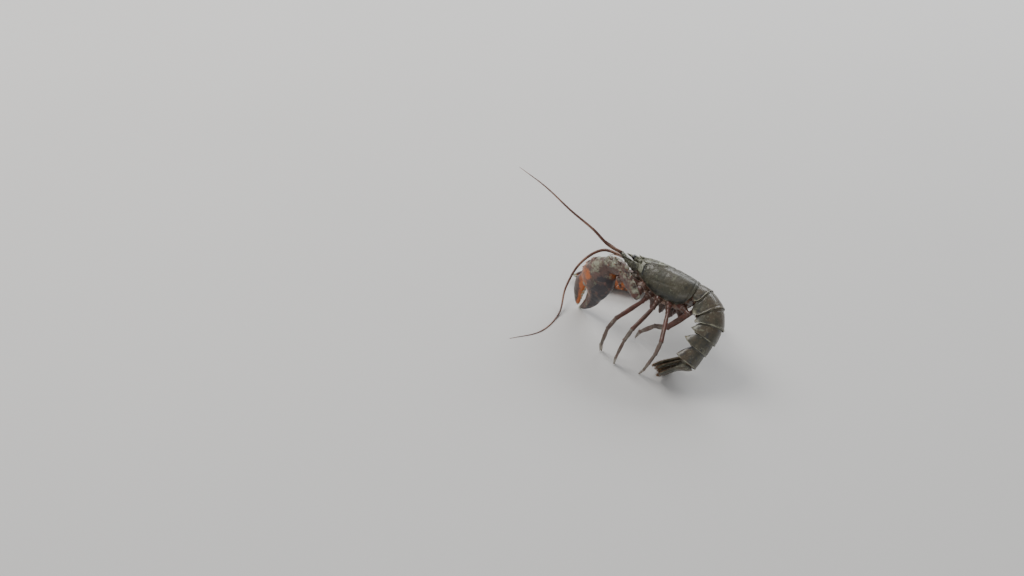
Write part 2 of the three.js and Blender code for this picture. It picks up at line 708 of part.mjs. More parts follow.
// Teeth along the inner edge of a finger: rounded knobs on the crusher, points on the cutter
function handTeeth(which, moving) {
  const { palm, finger, teeth } = handShape(which);
  const stations = moving ? finger : palm;
  const inward = moving ? -1 : 1;
  const { along, across } = handAxes(which);
  return teeth.map(([place, tooth], k) => {
    const u = place + (moving ? tooth * 1.1 : 0);
    const edge = smooth(stations, u, 1) + inward * smooth(stations, u, 2);
    if (CLAWS[which].crusher) {
      const centre = handPoint(which, u, edge - inward * tooth * 0.5, 0);
      return ball(centre, tooth * 0.95 * (k % 2 ? 0.9 : 1), 6, 4);
    }
    const way = across.clone().multiplyScalar(inward).addScaledVector(along, 0.15);
    return spine(handPoint(which, u, edge - inward * 0.5, 0), way, tooth * 0.75, tooth);
  });
}

// Blunt spines along the upper edge of the palm, on the side of the moving finger
function palmSpines(which) {
  const { palm } = handShape(which);
  const { along, across } = handAxes(which);
  return spread(11, 46, 6).map((u, k) => {
    const edge = smooth(palm, u, 1) + smooth(palm, u, 2);
    const lift = k % 2 ? 2.2 : -1.6;
    const way = across.clone().addScaledVector(along, 0.75);
    return spine(handPoint(which, u, edge - 0.9, lift), way, 2.1 + 0.15 * k, 3.6 + 0.3 * k);
  });
}

function handPalm(which) {
  const { palm } = handShape(which);
  return join(handLoft(which, palm, 16), palmSpines(which), handTeeth(which, false));
}

function handFinger(which) {
  const { palm, finger } = handShape(which);
  const grown = join(handLoft(which, palm, 16, GAP / 0.9), handTeeth(which, false));
  return cut(join(handLoft(which, finger, 12), handTeeth(which, true)), grown);
}

// The side of an arm piece that faces the midline, as an angle round it
const innerAngle = (which) => (which === 'left' ? 0 : Math.PI);

function clawIschium(which, body) {
  const { points } = CLAWS[which];
  const flat = CLAWS[which].face;
  const rings = [[0, 6.4, 6], [0.4, 7.2, 6.4], [0.8, 6.8, 5.8], [1.1, 6.2, 5.4]];
  const whole = limb(points[0], points[1], flat, rings, 10);
  return cut(keep(whole, points[1], bendWay(points[0], points[1], points[2]).negate()), body);
}

function clawMerus(which) {
  const { points, face } = CLAWS[which];
  const inner = innerAngle(which);
  const rings = [[-0.15, 5.6, 5], [0.1, 6.8, 5.6], [0.6, 8.6, 6.6], [0.9, 9, 7], [1.12, 7.6, 6.2]];
  const spots = [
    [0.82, inner, 8.6, 6.8],
    [0.55, inner - 0.2, 8, 6.2],
    [0.3, inner, 7.2, 5.8],
    [0.84, inner + 1.2, 8.6, 6.8],
  ];
  const spines = spots.map((spot) => limbSpine(points[1], points[2], face, spot, 1.5, 4.2));
  return join(limb(points[1], points[2], face, rings, 12), spines);
}

function clawCarpus(which) {
  const { points, face } = CLAWS[which];
  const inner = innerAngle(which);
  const rings = [[-0.35, 7, 6], [0, 9.6, 8], [0.5, 11.5, 9.4], [0.9, 10.5, 9], [1.3, 8, 7]];
  const spots = [
    [0.05, inner + 0.15, 9.3, 7.8],
    [0.38, inner - 0.1, 10.7, 8.8],
    [0.72, inner + 0.2, 10.6, 8.8],
    [0.6, inner + 1, 10.9, 9],
  ];
  const spines = spots.map((spot) => limbSpine(points[2], points[3], face, spot, 2, 4.8));
  return join(limb(points[2], points[3], face, rings, 12), spines);
}

// The trunk as a whole, for cutting what grows from it
const trunkGrown = trunk(GAP);
const sternumGrown = sternumSolid(GAP);
const bodyGrown = join(trunkGrown, sternumGrown);

const colours = {
  shell: { color: 0x3f4034, roughness: 0.35, metalness: 0 },
  under: { color: 0x8a6a4c, roughness: 0.5, metalness: 0 },
  tail: { color: 0x4a483a, roughness: 0.38, metalness: 0 },
  limb: { color: 0x5a4234, roughness: 0.4, metalness: 0 },
  claw: { color: 0x5b3d2a, roughness: 0.35, metalness: 0 },
  feeler: { color: 0x7d5038, roughness: 0.5, metalness: 0 },
  eye: { color: 0x0b0b0d, roughness: 0.1, metalness: 0 },
};

const lobster = new THREE.Group();
const body = new THREE.Group();
body.applyMatrix4(frame);
lobster.add(body);

// Adds a node, keeping its largest closed surface
function node(name, whole, finish) {
  const largest = whole.decompose().sort((a, b) => b.volume() - a.volume())[0];
  const mesh = largest.getMesh();
  const geometry = new THREE.BufferGeometry();
  geometry.setAttribute('position', new THREE.BufferAttribute(Float32Array.from(mesh.vertProperties), 3));
  geometry.setIndex(new THREE.BufferAttribute(Uint32Array.from(mesh.triVerts), 1));
  geometry.computeVertexNormals();
  const made = new THREE.Mesh(geometry, new THREE.MeshStandardMaterial(colours[finish]));
  made.name = name;
  body.add(made);
}

const eyeRoom = [1, -1].map((y) => ball(eyeCentre(y), EYE + 2));
node('carapace', cut(join(trunk(), rostrum(), carapaceSpines()), sternumGrown, eyeRoom), 'shell');
node('sternum', sternumSolid(), 'under');
for (const k of SOMITES.keys()) node(`somite_${k + 1}`, somite(k), 'tail');
node('telson', telson(), 'tail');

for (const which of ['left', 'right']) {
  const y = side[which];
  node(`uropod_inner_${which}`, uropod(y, false), 'tail');
  node(`uropod_outer_${which}`, uropod(y, true), 'tail');

  const stalkRings = [[0, 2.6, 2.6], [0.6, 2.8, 2.8], [1, 3.2, 3.2]];
  const stalk = limb(at(2, y * 5, 7.8), eyeCentre(y), vec(0, 0, 1), stalkRings, 10);
  node(`eye_${which}`, ball(eyeballCentre(y), EYE), 'eye');
  node(`eyestalk_${which}`, cut(stalk, ball(eyeballCentre(y), EYE + GAP), trunkGrown), 'shell');

  node(`antennule_${which}`, cut(antennule(y), trunkGrown), 'feeler');
  node(`antenna_base_${which}`, cut(antennaBase(y), trunkGrown), 'limb');
  node(`flagellum_near_${which}`, flagellum(y, 0, WHIP.split, 12), 'feeler');
  node(`flagellum_far_${which}`, flagellum(y, WHIP.split, 1, 14), 'feeler');
  node(`maxilliped_${which}`, cut(maxilliped(y), bodyGrown), 'limb');

  const claw = CLAWS[which];
  const arm = [clawMerus(which), clawCarpus(which), handPalm(which)];
  const armPoints = claw.points.slice(1);
  const [merus, carpus, palm] = parted(armPoints, arm);
  const start = bendWay(claw.points[0], claw.points[1], claw.points[2]);
  node(`claw_ischium_${which}`, clawIschium(which, bodyGrown), 'limb');
  node(`claw_merus_${which}`, keep(merus, claw.points[1], start), 'claw');
  node(`claw_carpus_${which}`, carpus, 'claw');
  node(`claw_hand_${which}`, onFloor(palm), 'claw');
  node(`claw_finger_${which}`, onFloor(handFinger(which)), 'claw');

  for (const k of LEGS[which].keys()) {
    node(`leg_${k + 1}_upper_${which}`, legUpper(which, k, bodyGrown), 'limb');
    node(`leg_${k + 1}_lower_${which}`, legLower(which, k), 'limb');
  }
}

// The origin is under the middle of the whole animal, on the floor
lobster.updateMatrixWorld(true);
const reach = new THREE.Box3().setFromObject(lobster, true);
const middle = reach.getCenter(vec(0, 0, 0));
lobster.position.set(-middle.x, -middle.y, -reach.min.z);

export default lobster;
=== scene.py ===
# American lobster, life size: the finished looks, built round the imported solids.
# Points are worked out in the trunk's own frame, in millimetres, and become metres in piece().
import math
import bpy
import numpy as np
from mathutils import Matrix, Vector, noise

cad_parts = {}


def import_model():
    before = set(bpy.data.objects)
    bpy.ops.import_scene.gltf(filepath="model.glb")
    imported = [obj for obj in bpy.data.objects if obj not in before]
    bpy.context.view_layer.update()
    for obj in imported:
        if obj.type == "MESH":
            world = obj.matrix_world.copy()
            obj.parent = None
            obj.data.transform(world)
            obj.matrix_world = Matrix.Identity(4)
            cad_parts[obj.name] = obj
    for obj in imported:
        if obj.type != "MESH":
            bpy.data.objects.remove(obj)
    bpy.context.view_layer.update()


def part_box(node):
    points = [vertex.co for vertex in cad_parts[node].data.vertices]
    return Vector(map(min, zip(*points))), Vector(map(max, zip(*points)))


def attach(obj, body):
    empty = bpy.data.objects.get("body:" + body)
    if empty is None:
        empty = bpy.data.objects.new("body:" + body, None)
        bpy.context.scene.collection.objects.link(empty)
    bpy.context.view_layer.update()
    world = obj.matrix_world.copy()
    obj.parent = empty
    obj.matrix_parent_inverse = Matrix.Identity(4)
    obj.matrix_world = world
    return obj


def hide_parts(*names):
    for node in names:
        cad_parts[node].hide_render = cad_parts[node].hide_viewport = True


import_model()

MM = 0.001
# Lengths of the carapace, beak and telson, and the radius of an eye
CARAPACE = 86.0
ROSTRUM = 21.5
TELSON = 38.0
EYE = 3.9
# How the trunk lies: turned about its own axis, nose up and aside in degrees, and its height
ROLL = 50.0
PITCH = 1.0
YAW = 20.0
AXIS_HEIGHT = 84.0
# The sign of the left and right of the body
LEFT = 1
RIGHT = -1
SIDES = {"left": LEFT, "right": RIGHT}
rng = np.random.default_rng(7)

# Trunk sections: distance behind the orbit, half width, height of the back, depth of the belly
TRUNK = [
    [-3, 7.5, 10, 6], [0, 11, 13.4, 9.5], [5, 14.5, 15.9, 12.8], [14, 18, 18.4, 17.4],
    [29, 21.4, 20.2, 23], [46, 23.5, 20.4, 25.8], [51, 24.1, 19.7, 25.8], [56, 24.6, 20.2, 26],
    [70, 25.5, 19.4, 24.8], [80, 24, 18.2, 20.4], [CARAPACE, 21.5, 17.2, 14],
]
# Rings of the tail: length along the bent axis, and how many degrees each turns
SOMITES = [(12, 14), (18.5, 30), (18.5, 36), (17, 18), (17, 2), (22, -2)]
TELSON_BEND = 34


def vec(x, y, z):
    return np.array([x, y, z], float)


def at(behind, left, up):
    """A point by its distance behind the orbit, to the left and over the axis."""
    return vec(-behind, left, up)


def unit(v):
    return v / np.linalg.norm(v)


def mix(a, b, t):
    return a + (b - a) * t


UP = vec(0, 0, 1)
ACROSS = vec(0, 1, 0)


def turn(axis, degrees):
    """A turn about the x, y or z axis."""
    a = math.radians(degrees)
    about_x = np.array([[1, 0, 0], [0, math.cos(a), -math.sin(a)], [0, math.sin(a), math.cos(a)]])
    return np.roll(about_x, axis, (0, 1))


# The trunk's frame in the world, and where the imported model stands
turned = turn(2, 180 - YAW) @ turn(1, -PITCH) @ turn(0, ROLL)
pivot = at(CARAPACE / 2, 0, 0)
placed = vec(0, 0, AXIS_HEIGHT) - turned @ pivot


def eye_centre(y):
    """Where an eyestalk bears its eye."""
    return at(-5, y * 8.6, 8.8)


def eyeball_centre(y):
    """The middle of the eye itself."""
    return eye_centre(y) + vec(1.4, y * 1.2, 0.3)


eye_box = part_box("eye_left")
shift = (np.array(eye_box[0]) + np.array(eye_box[1])) / 2 / MM - turned @ eyeball_centre(LEFT) - placed


def to_metres(points):
    """Points of the trunk's frame as points of the scene."""
    return (points @ turned.T + placed + shift) * MM


def world(x, y, z):
    """A point over the floor, in the trunk's frame."""
    return (vec(x, y, z) - placed) @ turned


def beside(x, y, z):
    """A point level with the trunk's axis when z is nought."""
    return world(x, y, AXIS_HEIGHT + z)


def world_way(x, y, z):
    """A way in the scene, in the trunk's frame."""
    return unit(vec(x, y, z) @ turned)


def around(count):
    """Angles round a full turn."""
    return np.linspace(0, 2 * math.pi, count, endpoint=False)


def signed(x, exponent):
    """A power that keeps the sign."""
    return np.sign(x) * np.abs(x) ** exponent


def smooth(stations, x, column=1):
    """Values between stations, with no overshoot."""
    xs, ys = np.array(stations, float)[:, (0, column)].T
    slope = np.diff(ys) / np.diff(xs)
    before = slope[:-1]
    after = slope[1:]
    level = before * after <= 0
    inner = np.where(level, 0, 2 * before * after / np.where(level, 1, before + after))
    tangent = np.concatenate([slope[:1], inner, slope[-1:]])
    x = np.clip(np.asarray(x, float), xs[0], xs[-1])
    k = np.clip(np.searchsorted(xs, x, side="right") - 1, 0, len(xs) - 2)
    span = xs[k + 1] - xs[k]
    t = (x - xs[k]) / span
    rise = t * t * (3 - 2 * t)
    bent = span * (t * (1 - t) ** 2 * tangent[k] - t * t * (1 - t) * tangent[k + 1])
    return (1 - rise) * ys[k] + rise * ys[k + 1] + bent


def pick(stations, x, column):
    """One value between stations."""
    return float(smooth(stations, x, column))


def bump(x, centre, width):
    """A soft hump of height one."""
    return np.exp(-(((x - centre) / width) ** 2))


def step(x, low, high):
    """A soft rise from nought to one."""
    t = np.clip((x - low) / (high - low), 0, 1)
    return t * t * (3 - 2 * t)


def blotches(points, scale, seed, level=0.05, soft=0.3):
    """Smooth patches of nought and one at each point."""
    return step(lumps(points, scale, seed), level, level + soft)


def lumps(points, scale, seed=0.0):
    """Smooth noise at each point, from about -1 to 1."""
    flat = points.reshape(-1, 3) / scale + seed
    values = [noise.noise(Vector(p)) for p in flat]
    return np.array(values).reshape(points.shape[:-1])


def spread(start, *pairs):
    """A point or grid moved by arrays of measures, each along its own way."""
    for measure, way in pairs:
        start = start + measure[..., None] * way
    return start


def rings(s, y, z):
    """Points from distances behind the orbit, to the left and up."""
    return np.stack([-s * np.ones_like(y), y, z], -1)


# Parts of a mesh: points, faces and named values at the points


def closed(points, faces, values):
    """Turns the faces outward."""
    corners = np.array([(f[0], f[i], f[i + 1]) for f in faces for i in range(1, len(f) - 1)])
    a, b, c = points[corners].transpose(1, 0, 2)
    if np.einsum("ij,ij->i", a, np.cross(b, c)).sum() < 0:
        faces = [tuple(reversed(f)) for f in faces]
    return points, faces, values


def domed(grid, dome, values):
    """Rounds both ends of a skin off with smaller rings."""
    ends = []
    for ring, near in ((grid[0], grid[1]), (grid[-1], grid[-2])):
        middle = ring.mean(0)
        way = unit(middle - near.mean(0)) * np.linalg.norm(ring - middle, axis=1).min() * dome
        ends.append([middle + (ring - middle) * share + way * rise
                     for share, rise in ((0.88, 0.48), (0.6, 0.8), (0.25, 0.97))])
    held = {name: np.pad(np.broadcast_to(value, grid.shape[:2]), ((3, 3), (0, 0)), "edge")
            for name, value in values.items()}
    return np.concatenate([ends[0][::-1], grid, ends[1]]), held


def tube(grid, dome=0.0, **values):
    """A closed skin through rings of points: rows, columns, 3."""
    if dome:
        grid, values = domed(grid, dome, values)
    rows, columns = grid.shape[:2]
    points = np.vstack([grid.reshape(-1, 3), grid[0].mean(0), grid[-1].mean(0)])
    pairs = [(j, (j + 1) % columns) for j in range(columns)]
    first = rows * columns
    last = first - columns
    faces = [(a + j, a + n, a + columns + n, a + columns + j)
             for a in range(0, last, columns) for j, n in pairs]
    for j, n in pairs:
        faces += [(first, n, j), (first + 1, last + j, last + n)]
    held = {}
    for name, value in values.items():
        value = np.broadcast_to(value, (rows, columns))
        held[name] = np.concatenate([value.ravel(), [value[0].mean(), value[-1].mean()]])
    return closed(points, faces, held)


def plate(outer, inner, **values):
    """A thin closed shell between two grids of points."""
    rows, columns = outer.shape[:2]
    count = rows * columns
    points = np.vstack([outer.reshape(-1, 3), inner.reshape(-1, 3)])
    index = np.arange(count).reshape(rows, columns)
    faces = []
    for a in index[:-1, :-1].ravel():
        faces.append((a, a + 1, a + columns + 1, a + columns))
        faces.append((count + a, count + a + columns, count + a + columns + 1, count + a + 1))
    rim = [*index[0], *index[1:, -1], *index[-1, -2::-1], *index[-2:0:-1, 0]]
    faces += [(b, a, count + a, count + b) for a, b in zip(rim, rim[1:] + rim[:1])]
    held = {name: np.tile(np.broadcast_to(value, (rows, columns)).ravel(), 2)
            for name, value in values.items()}
    return closed(points, faces, held)


def axes(start, end, flat):
    """The way along a limb, across its breadth and through it."""
    along = unit(end - start)
    broad = unit(np.cross(along, flat))
    thin = unit(np.cross(broad, along))
    return along, broad, thin


def wide(stations):
    """Stations with a sideways shift of nought where none is given."""
    return [[*station, 0][:4] for station in stations]


def limb(start, end, flat, stations, rows=28, sides=28, lump=0.0, square=1.0, relief=None, **values):
    """One length of a limb: stations are fraction of the way, half breadth, half thickness, shift."""
    table = wide(stations)
    _, broad, thin = axes(start, end, flat)
    t = np.linspace(table[0][0], table[-1][0], rows)
    t = np.unique(np.round(np.concatenate([t, [s[0] for s in table]]), 5))[:, None]
    angle = around(sides)[None, :]
    c = signed(np.cos(angle), square)
    s = signed(np.sin(angle), square)
    breadth = smooth(table, t, 1) * c + smooth(table, t, 3)
    thick = smooth(table, t, 2) * s
    grid = spread(start, (t, end - start), (breadth, broad), (thick, thin))
    swell = lumps(grid, 4.5) * lump if lump else np.zeros(grid.shape[:2])
    if relief:
        swell = swell + relief(t, angle, grid)
    grid = spread(grid, (swell, spread(0, (c, broad), (s, thin))))
    values.setdefault("along", np.clip(t, 0, 1))
    held = {name: value(t, angle, grid) if callable(value) else value for name, value in values.items()}
    return tube(grid, 0.6, **held)


def limb_point(start, end, flat, stations, t, angle, lift):
    """A point on a limb's skin and the way out of the skin there."""
    table = wide(stations)
    _, broad, thin = axes(start, end, flat)
    breadth = (pick(table, t, 1) + lift) * math.cos(angle) + pick(table, t, 3)
    thick = (pick(table, t, 2) + lift) * math.sin(angle)
    point = start + t * (end - start) + breadth * broad + thick * thin
    return point, math.cos(angle) * broad + math.sin(angle) * thin


def ball(centre, radii, ways=np.eye(3), sides=20, rows=12, **values):
    """An egg with its radii along three ways."""
    theta = np.linspace(0, math.pi, rows + 2)[1:-1]
    phi = around(sides)
    x = np.sin(theta)[:, None] * np.cos(phi) * radii[0]
    y = np.sin(theta)[:, None] * np.sin(phi) * radii[1]
    z = np.cos(theta)[:, None] * np.ones(sides) * radii[2]
    made = tube(spread(centre, *zip((x, y, z), ways)), **values)
    made[0][-2] = centre + radii[2] * ways[2]
    made[0][-1] = centre - radii[2] * ways[2]
    return made


def spine(root, way, radius, length, bend=(0, 0, 0), sides=10, rows=8, **values):
    """A horny spine with a flared foot and a fine point, bent towards a way."""
    way = unit(way)
    side = unit(np.cross(way, vec(0.31, 0.52, 0.79)))
    other = np.cross(way, side)
    t = np.linspace(-0.2, 1, rows)
    up = np.clip(t, 0, 1)
    r = radius * (0.95 * np.clip(1 - up, 0.03, 1) ** 0.95 + 0.26 * np.exp(-up / 0.12))
    phi = around(sides)
    middle = root + t[:, None] * length * way + (up ** 2)[:, None] * length * np.array(bend)
    ring = np.cos(phi)[:, None] * side + np.sin(phi)[:, None] * other
    if "warm" in values:
        values["warm"] = values["warm"] * step(t, 0.05, 0.6)[:, None]
    values.setdefault("tip", 0.8 * step(t, 0.5, 1)[:, None])
    return tube(middle[:, None, :] + r[:, None, None] * ring, **values)


# What each point of a mesh tells the materials: the share of the way, the zones and the pale tips
MASKS = ("along", "pale", "warm", "dark", "tip")


def add(name, data):
    """A new object in the scene."""
    made = bpy.data.objects.new(name, data)
    bpy.context.scene.collection.objects.link(made)
    return made


def piece(name, parts, paint, nodes=(), floor=False):
    """Joins parts into one object in metres, which rides on the still body."""
    faces = []
    start = 0
    for part_points, part_faces, _ in parts:
        faces += [tuple(int(corner) + start for corner in face) for face in part_faces]
        start += len(part_points)
    points = to_metres(np.vstack([part[0] for part in parts]))
    if floor:
        points[:, 2] = np.maximum(points[:, 2], 0.0)
    mesh = bpy.data.meshes.new(name)
    mesh.from_pydata(points.tolist(), [], faces)
    for mask in MASKS:
        value = np.concatenate([np.broadcast_to(part[2].get(mask, 0.0), (len(part[0]),)) for part in parts])
        mesh.attributes.new(mask, "FLOAT", "POINT").data.foreach_set("value", value.astype(np.float32))
    mesh.polygons.foreach_set("use_smooth", np.ones(len(faces), bool))
    mesh.materials.append(paints[paint])
    mesh.update()
    made = add(name, mesh)
    if nodes:
        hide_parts(*nodes)
    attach(made, "root")
    return made


# Materials


class Paint:
    """A short way to write a shader's nodes."""

    def __init__(self, name):
        self.material = bpy.data.materials.new(name)
        self.material.use_nodes = True
        self.tree = self.material.node_tree
        self.shader = self.tree.nodes["Principled BSDF"]
        self.place = self.tree.nodes.new("ShaderNodeTexCoord").outputs["Object"]

    def fill(self, sockets, values):
        """Links a node's output to each named socket, or sets the socket's own value."""
        for name, value in values.items():
            if isinstance(value, bpy.types.NodeSocket):
                self.tree.links.new(value, sockets[name])
            else:
                sockets[name].default_value = value

    def node(self, kind, inputs, **settings):
        made = self.tree.nodes.new("ShaderNode" + kind)
        for name, value in settings.items():
            setattr(made, name, value)
        self.fill(made.inputs, inputs)
        return made.outputs

    def noise(self, size, detail=3.0, rough=0.55, distort=0.0, seed=0.0):
        inputs = {"Vector": self.place, "W": seed, "Scale": 1000.0 / size, "Detail": detail,
                  "Roughness": rough, "Distortion": distort}
        return self.node("TexNoise", inputs, noise_dimensions="4D")["Fac"]

    def cells(self, size):
        return self.node("TexVoronoi", {"Vector": self.place, "Scale": 1000.0 / size})["Distance"]

    def ramp(self, value, low, high, to_low=0.0, to_high=1.0):
        inputs = {"Value": value, "From Min": low, "From Max": high, "To Min": to_low, "To Max": to_high}
        return self.node("MapRange", inputs, interpolation_type="SMOOTHSTEP")["Result"]

    def times(self, a, b):
        return self.node("Math", {0: a, 1: b}, operation="MULTIPLY")[0]

    def plus(self, a, b):
        return self.node("Math", {0: a, 1: b}, operation="ADD")[0]

    def mask(self, name):
        return self.node("Attribute", {}, attribute_name=name)["Fac"]

    def blend(self, factor, a, b):
        a, b = ((*colour, 1.0) if isinstance(colour, tuple) else colour for colour in (a, b))
        return self.node("Mix", {"Factor": factor, 6: a, 7: b}, data_type="RGBA")[2]

    def relief(self, *heights):
        """Bumps stacked on one another: pairs of a height and its depth in mm."""
        below = {}
        for height, depth in heights:
            inputs = {"Height": height, "Distance": depth * MM, "Strength": 1.0, **below}
            below = {"Normal": self.node("Bump", inputs)["Normal"]}
        self.fill(self.shader.inputs, below)

    def finish(self, colour, rough, coat=0.0, coat_rough=0.1, subsurface=0.0):
        self.fill(self.shader.inputs, {
            "Base Color": colour, "Roughness": rough, "Coat Weight": coat, "Coat Roughness": coat_rough,
            "Subsurface Weight": subsurface, "Subsurface Radius": (0.003, 0.0012, 0.0006),
        })
        return self.material


def shell_paint(name, base, second, fleck, pale, warm, dark, mottled, flecks, grainy=0.08, fine=None):
    """Wet mottled shell: cloudy patches, dark blotches, pale flecks, then the painted zones."""
    p = Paint(name)
    colour = p.blend(p.times(p.ramp(p.noise(24, 4, 0.6, 0.6), 0.38, 0.64), mottled), base, second)
    blots = p.ramp(p.noise(9.5, 5, 0.62, 0.7, 3.0), 0.52, 0.66)
    specks = p.ramp(p.noise(2.6, 4, 0.65, 0.3, 6.0), 0.54, 0.66)
    for marks, share in ((blots, 0.62), (specks, 0.45)):
        colour = p.blend(p.times(marks, share * mottled), colour, dark)
    patches = p.ramp(p.noise(15, 3, 0.55, 0.0, 11.0), 0.42, 0.6)
    for size, seed, low, tint in ((5.0, 7.0, 0.55, fleck), (2.2, 8.0, 0.57, fine or fleck)):
        spots = p.ramp(p.noise(size, 4, 0.6, 0.5, seed), low, low + 0.09)
        colour = p.blend(p.times(p.times(spots, patches), 0.7 * flecks), colour, tint)
    coarse = p.times(p.noise(8, 4, 0.6, 0.5, 5.0), 0.6)
    fringed = p.times(p.noise(2.4, 4, 0.65, 0.2, 12.0), 0.4)
    ragged = p.times(p.plus(p.plus(coarse, fringed), -0.5), 1.5)
    for mask, tint in (("pale", pale), ("warm", warm), ("dark", dark), ("tip", pale)):
        reach = p.ramp(p.plus(p.mask(mask), ragged), 0.3, 0.72)
        shown = p.times(reach, p.ramp(p.mask(mask), 0.02, 0.22))
        colour = p.blend(p.times(shown, 0.9), colour, tint)
    pits = p.ramp(p.cells(1.7), 0.0, 0.4)
    grain = p.noise(0.9, 3, 0.6, 0.0, 2.0)
    p.relief((p.noise(6, 4, 0.55), 0.30), (p.noise(2.4, 3, 0.6), 0.12), (pits, grainy), (grain, 0.05))
    rough = p.ramp(p.noise(7, 4, 0.6, 0.0, 9.0), 0.3, 0.7, 0.34, 0.56)
    return p.finish(colour, rough, 0.28, 0.17)


def shell_paints():
    """Each shell's base, clouds, flecks, pale, warm and dark zones, then how mottled and flecked it is."""
    rust = (0.15, 0.052, 0.028)
    red = (0.30, 0.085, 0.035)
    colours = {
        "carapace": ((0.046, 0.044, 0.027), (0.070, 0.059, 0.035), (0.180, 0.186, 0.128),
                     (0.265, 0.27, 0.19), rust, (0.016, 0.018, 0.016), 0.85, 0.8),
        "tail": ((0.050, 0.046, 0.028), (0.084, 0.062, 0.036), (0.20, 0.20, 0.14), (0.29, 0.28, 0.20),
                 rust, (0.013, 0.014, 0.021), 1.0, 1.0),
        "claw": ((0.060, 0.040, 0.030), (0.125, 0.056, 0.042), (0.24, 0.27, 0.17), (0.42, 0.44, 0.32),
                 (0.50, 0.125, 0.018), (0.012, 0.010, 0.017), 1.0, 1.0, 0.13, (0.34, 0.19, 0.15)),
        "limb": ((0.120, 0.036, 0.024), (0.070, 0.040, 0.027), (0.24, 0.17, 0.125), (0.36, 0.27, 0.21),
                 red, (0.030, 0.018, 0.014), 0.9, 0.6),
        "shin": ((0.135, 0.105, 0.082), (0.115, 0.052, 0.038), (0.30, 0.28, 0.23), (0.36, 0.34, 0.28),
                 red, (0.032, 0.024, 0.020), 0.9, 0.7),
    }
    return {name: shell_paint(f"{name}_paint", *values) for name, values in colours.items()}


def feeler_paint():
    """Red brown, darker at each ring and paler in bands."""
    p = Paint("feeler_paint")
    clouds = p.ramp(p.noise(9, 3, 0.6), 0.35, 0.7)
    colour = p.blend(clouds, (0.17, 0.060, 0.032), (0.085, 0.034, 0.022))
    colour = p.blend(p.mask("dark"), colour, (0.03, 0.014, 0.01))
    colour = p.blend(p.mask("pale"), colour, (0.36, 0.20, 0.13))
    p.relief((p.noise(1.2, 3, 0.6), 0.06))
    return p.finish(colour, 0.36, 0.3, 0.15)


def eye_paint():
    """Polished black with a fine grain of facets."""
    p = Paint("eye_paint")
    colour = p.blend(p.ramp(p.noise(2.5, 2, 0.5), 0.4, 0.7), (0.004, 0.004, 0.005), (0.010, 0.009, 0.010))
    p.relief((p.cells(0.32), 0.012))
    return p.finish(colour, 0.12, 0.9, 0.03)


def under_paint():
    """Pale brown underside with stains and flecks."""
    p = Paint("underside_paint")
    clouds = p.ramp(p.noise(12, 4, 0.6, 0.4), 0.35, 0.7)
    colour = p.blend(clouds, (0.16, 0.072, 0.042), (0.25, 0.145, 0.090))
    stains = p.times(p.ramp(p.noise(4, 5, 0.65, 0.3, 4.0), 0.46, 0.66), 0.7)
    colour = p.blend(stains, colour, (0.085, 0.040, 0.026))
    flecks = p.times(p.ramp(p.noise(2.2, 4, 0.6, 0.3, 9.0), 0.54, 0.64), 0.5)
    colour = p.blend(flecks, colour, (0.33, 0.23, 0.16))
    # The dark mask paints shade on the body wall under the shell, and darkens the end of the tail's flesh.
    colour = p.blend(p.mask("dark"), colour, (0.045, 0.034, 0.024))
    p.relief((p.noise(3.5, 4, 0.6), 0.2), (p.noise(0.8, 2, 0.6), 0.04))
    return p.finish(colour, 0.42, 0.2, 0.2, 0.15)


def hair_paint():
    """Bristles, paler towards their tips."""
    p = Paint("hair_paint")
    colour = p.blend(p.mask("along"), (0.13, 0.066, 0.032), (0.31, 0.20, 0.105))
    colour = p.blend(p.ramp(p.noise(2.5, 2, 0.5), 0.4, 0.65, 0.0, 0.5), colour, (0.075, 0.04, 0.022))
    return p.finish(colour, 0.55)


# Trunk


def trunk_section(s, angle, grow=0.0):
    """Points on the trunk for arrays of distance and angle from the back."""
    up = np.cos(angle)
    power = np.where(up > 0, 0.94, 0.74)
    height = np.where(up > 0, smooth(TRUNK, s, 2), smooth(TRUNK, s, 3))
    y = signed(np.sin(angle), power) * (smooth(TRUNK, s, 1) + grow)
    return rings(s, y, signed(up, power) * (height + grow))


# Lower edge of the carapace: its angle from the back at a distance behind the orbit
MARGIN = [[-3, 104], [4, 110], [14, 124], [26, 138], [38, 150], [52, 156], [72, 157], [80, 154], [87, 142]]
# Front and rear edges: distance behind the orbit at a share of the way from the back to the lower edge
FRONT_EDGE = [[0, -2.5], [0.11, -1.5], [0.22, 2.2], [0.33, 1.2], [0.42, -1], [0.53, 0.8], [0.72, 2.2],
              [0.9, 7], [1, 14]]
REAR_EDGE = [[0, 83], [0.15, 84.5], [0.34, 86.5], [0.52, 87.3], [0.72, 87.2], [0.86, 85.8],
             [0.95, 82.5], [1, 78]]
# The groove across the carapace: its distance behind the orbit at an angle from the back
GROOVE = [[0, 50], [20, 48], [40, 40], [50, 32], [58, 23], [67, 16.5], [80, 14.5], [100, 15.5],
          [120, 18], [140, 21]]


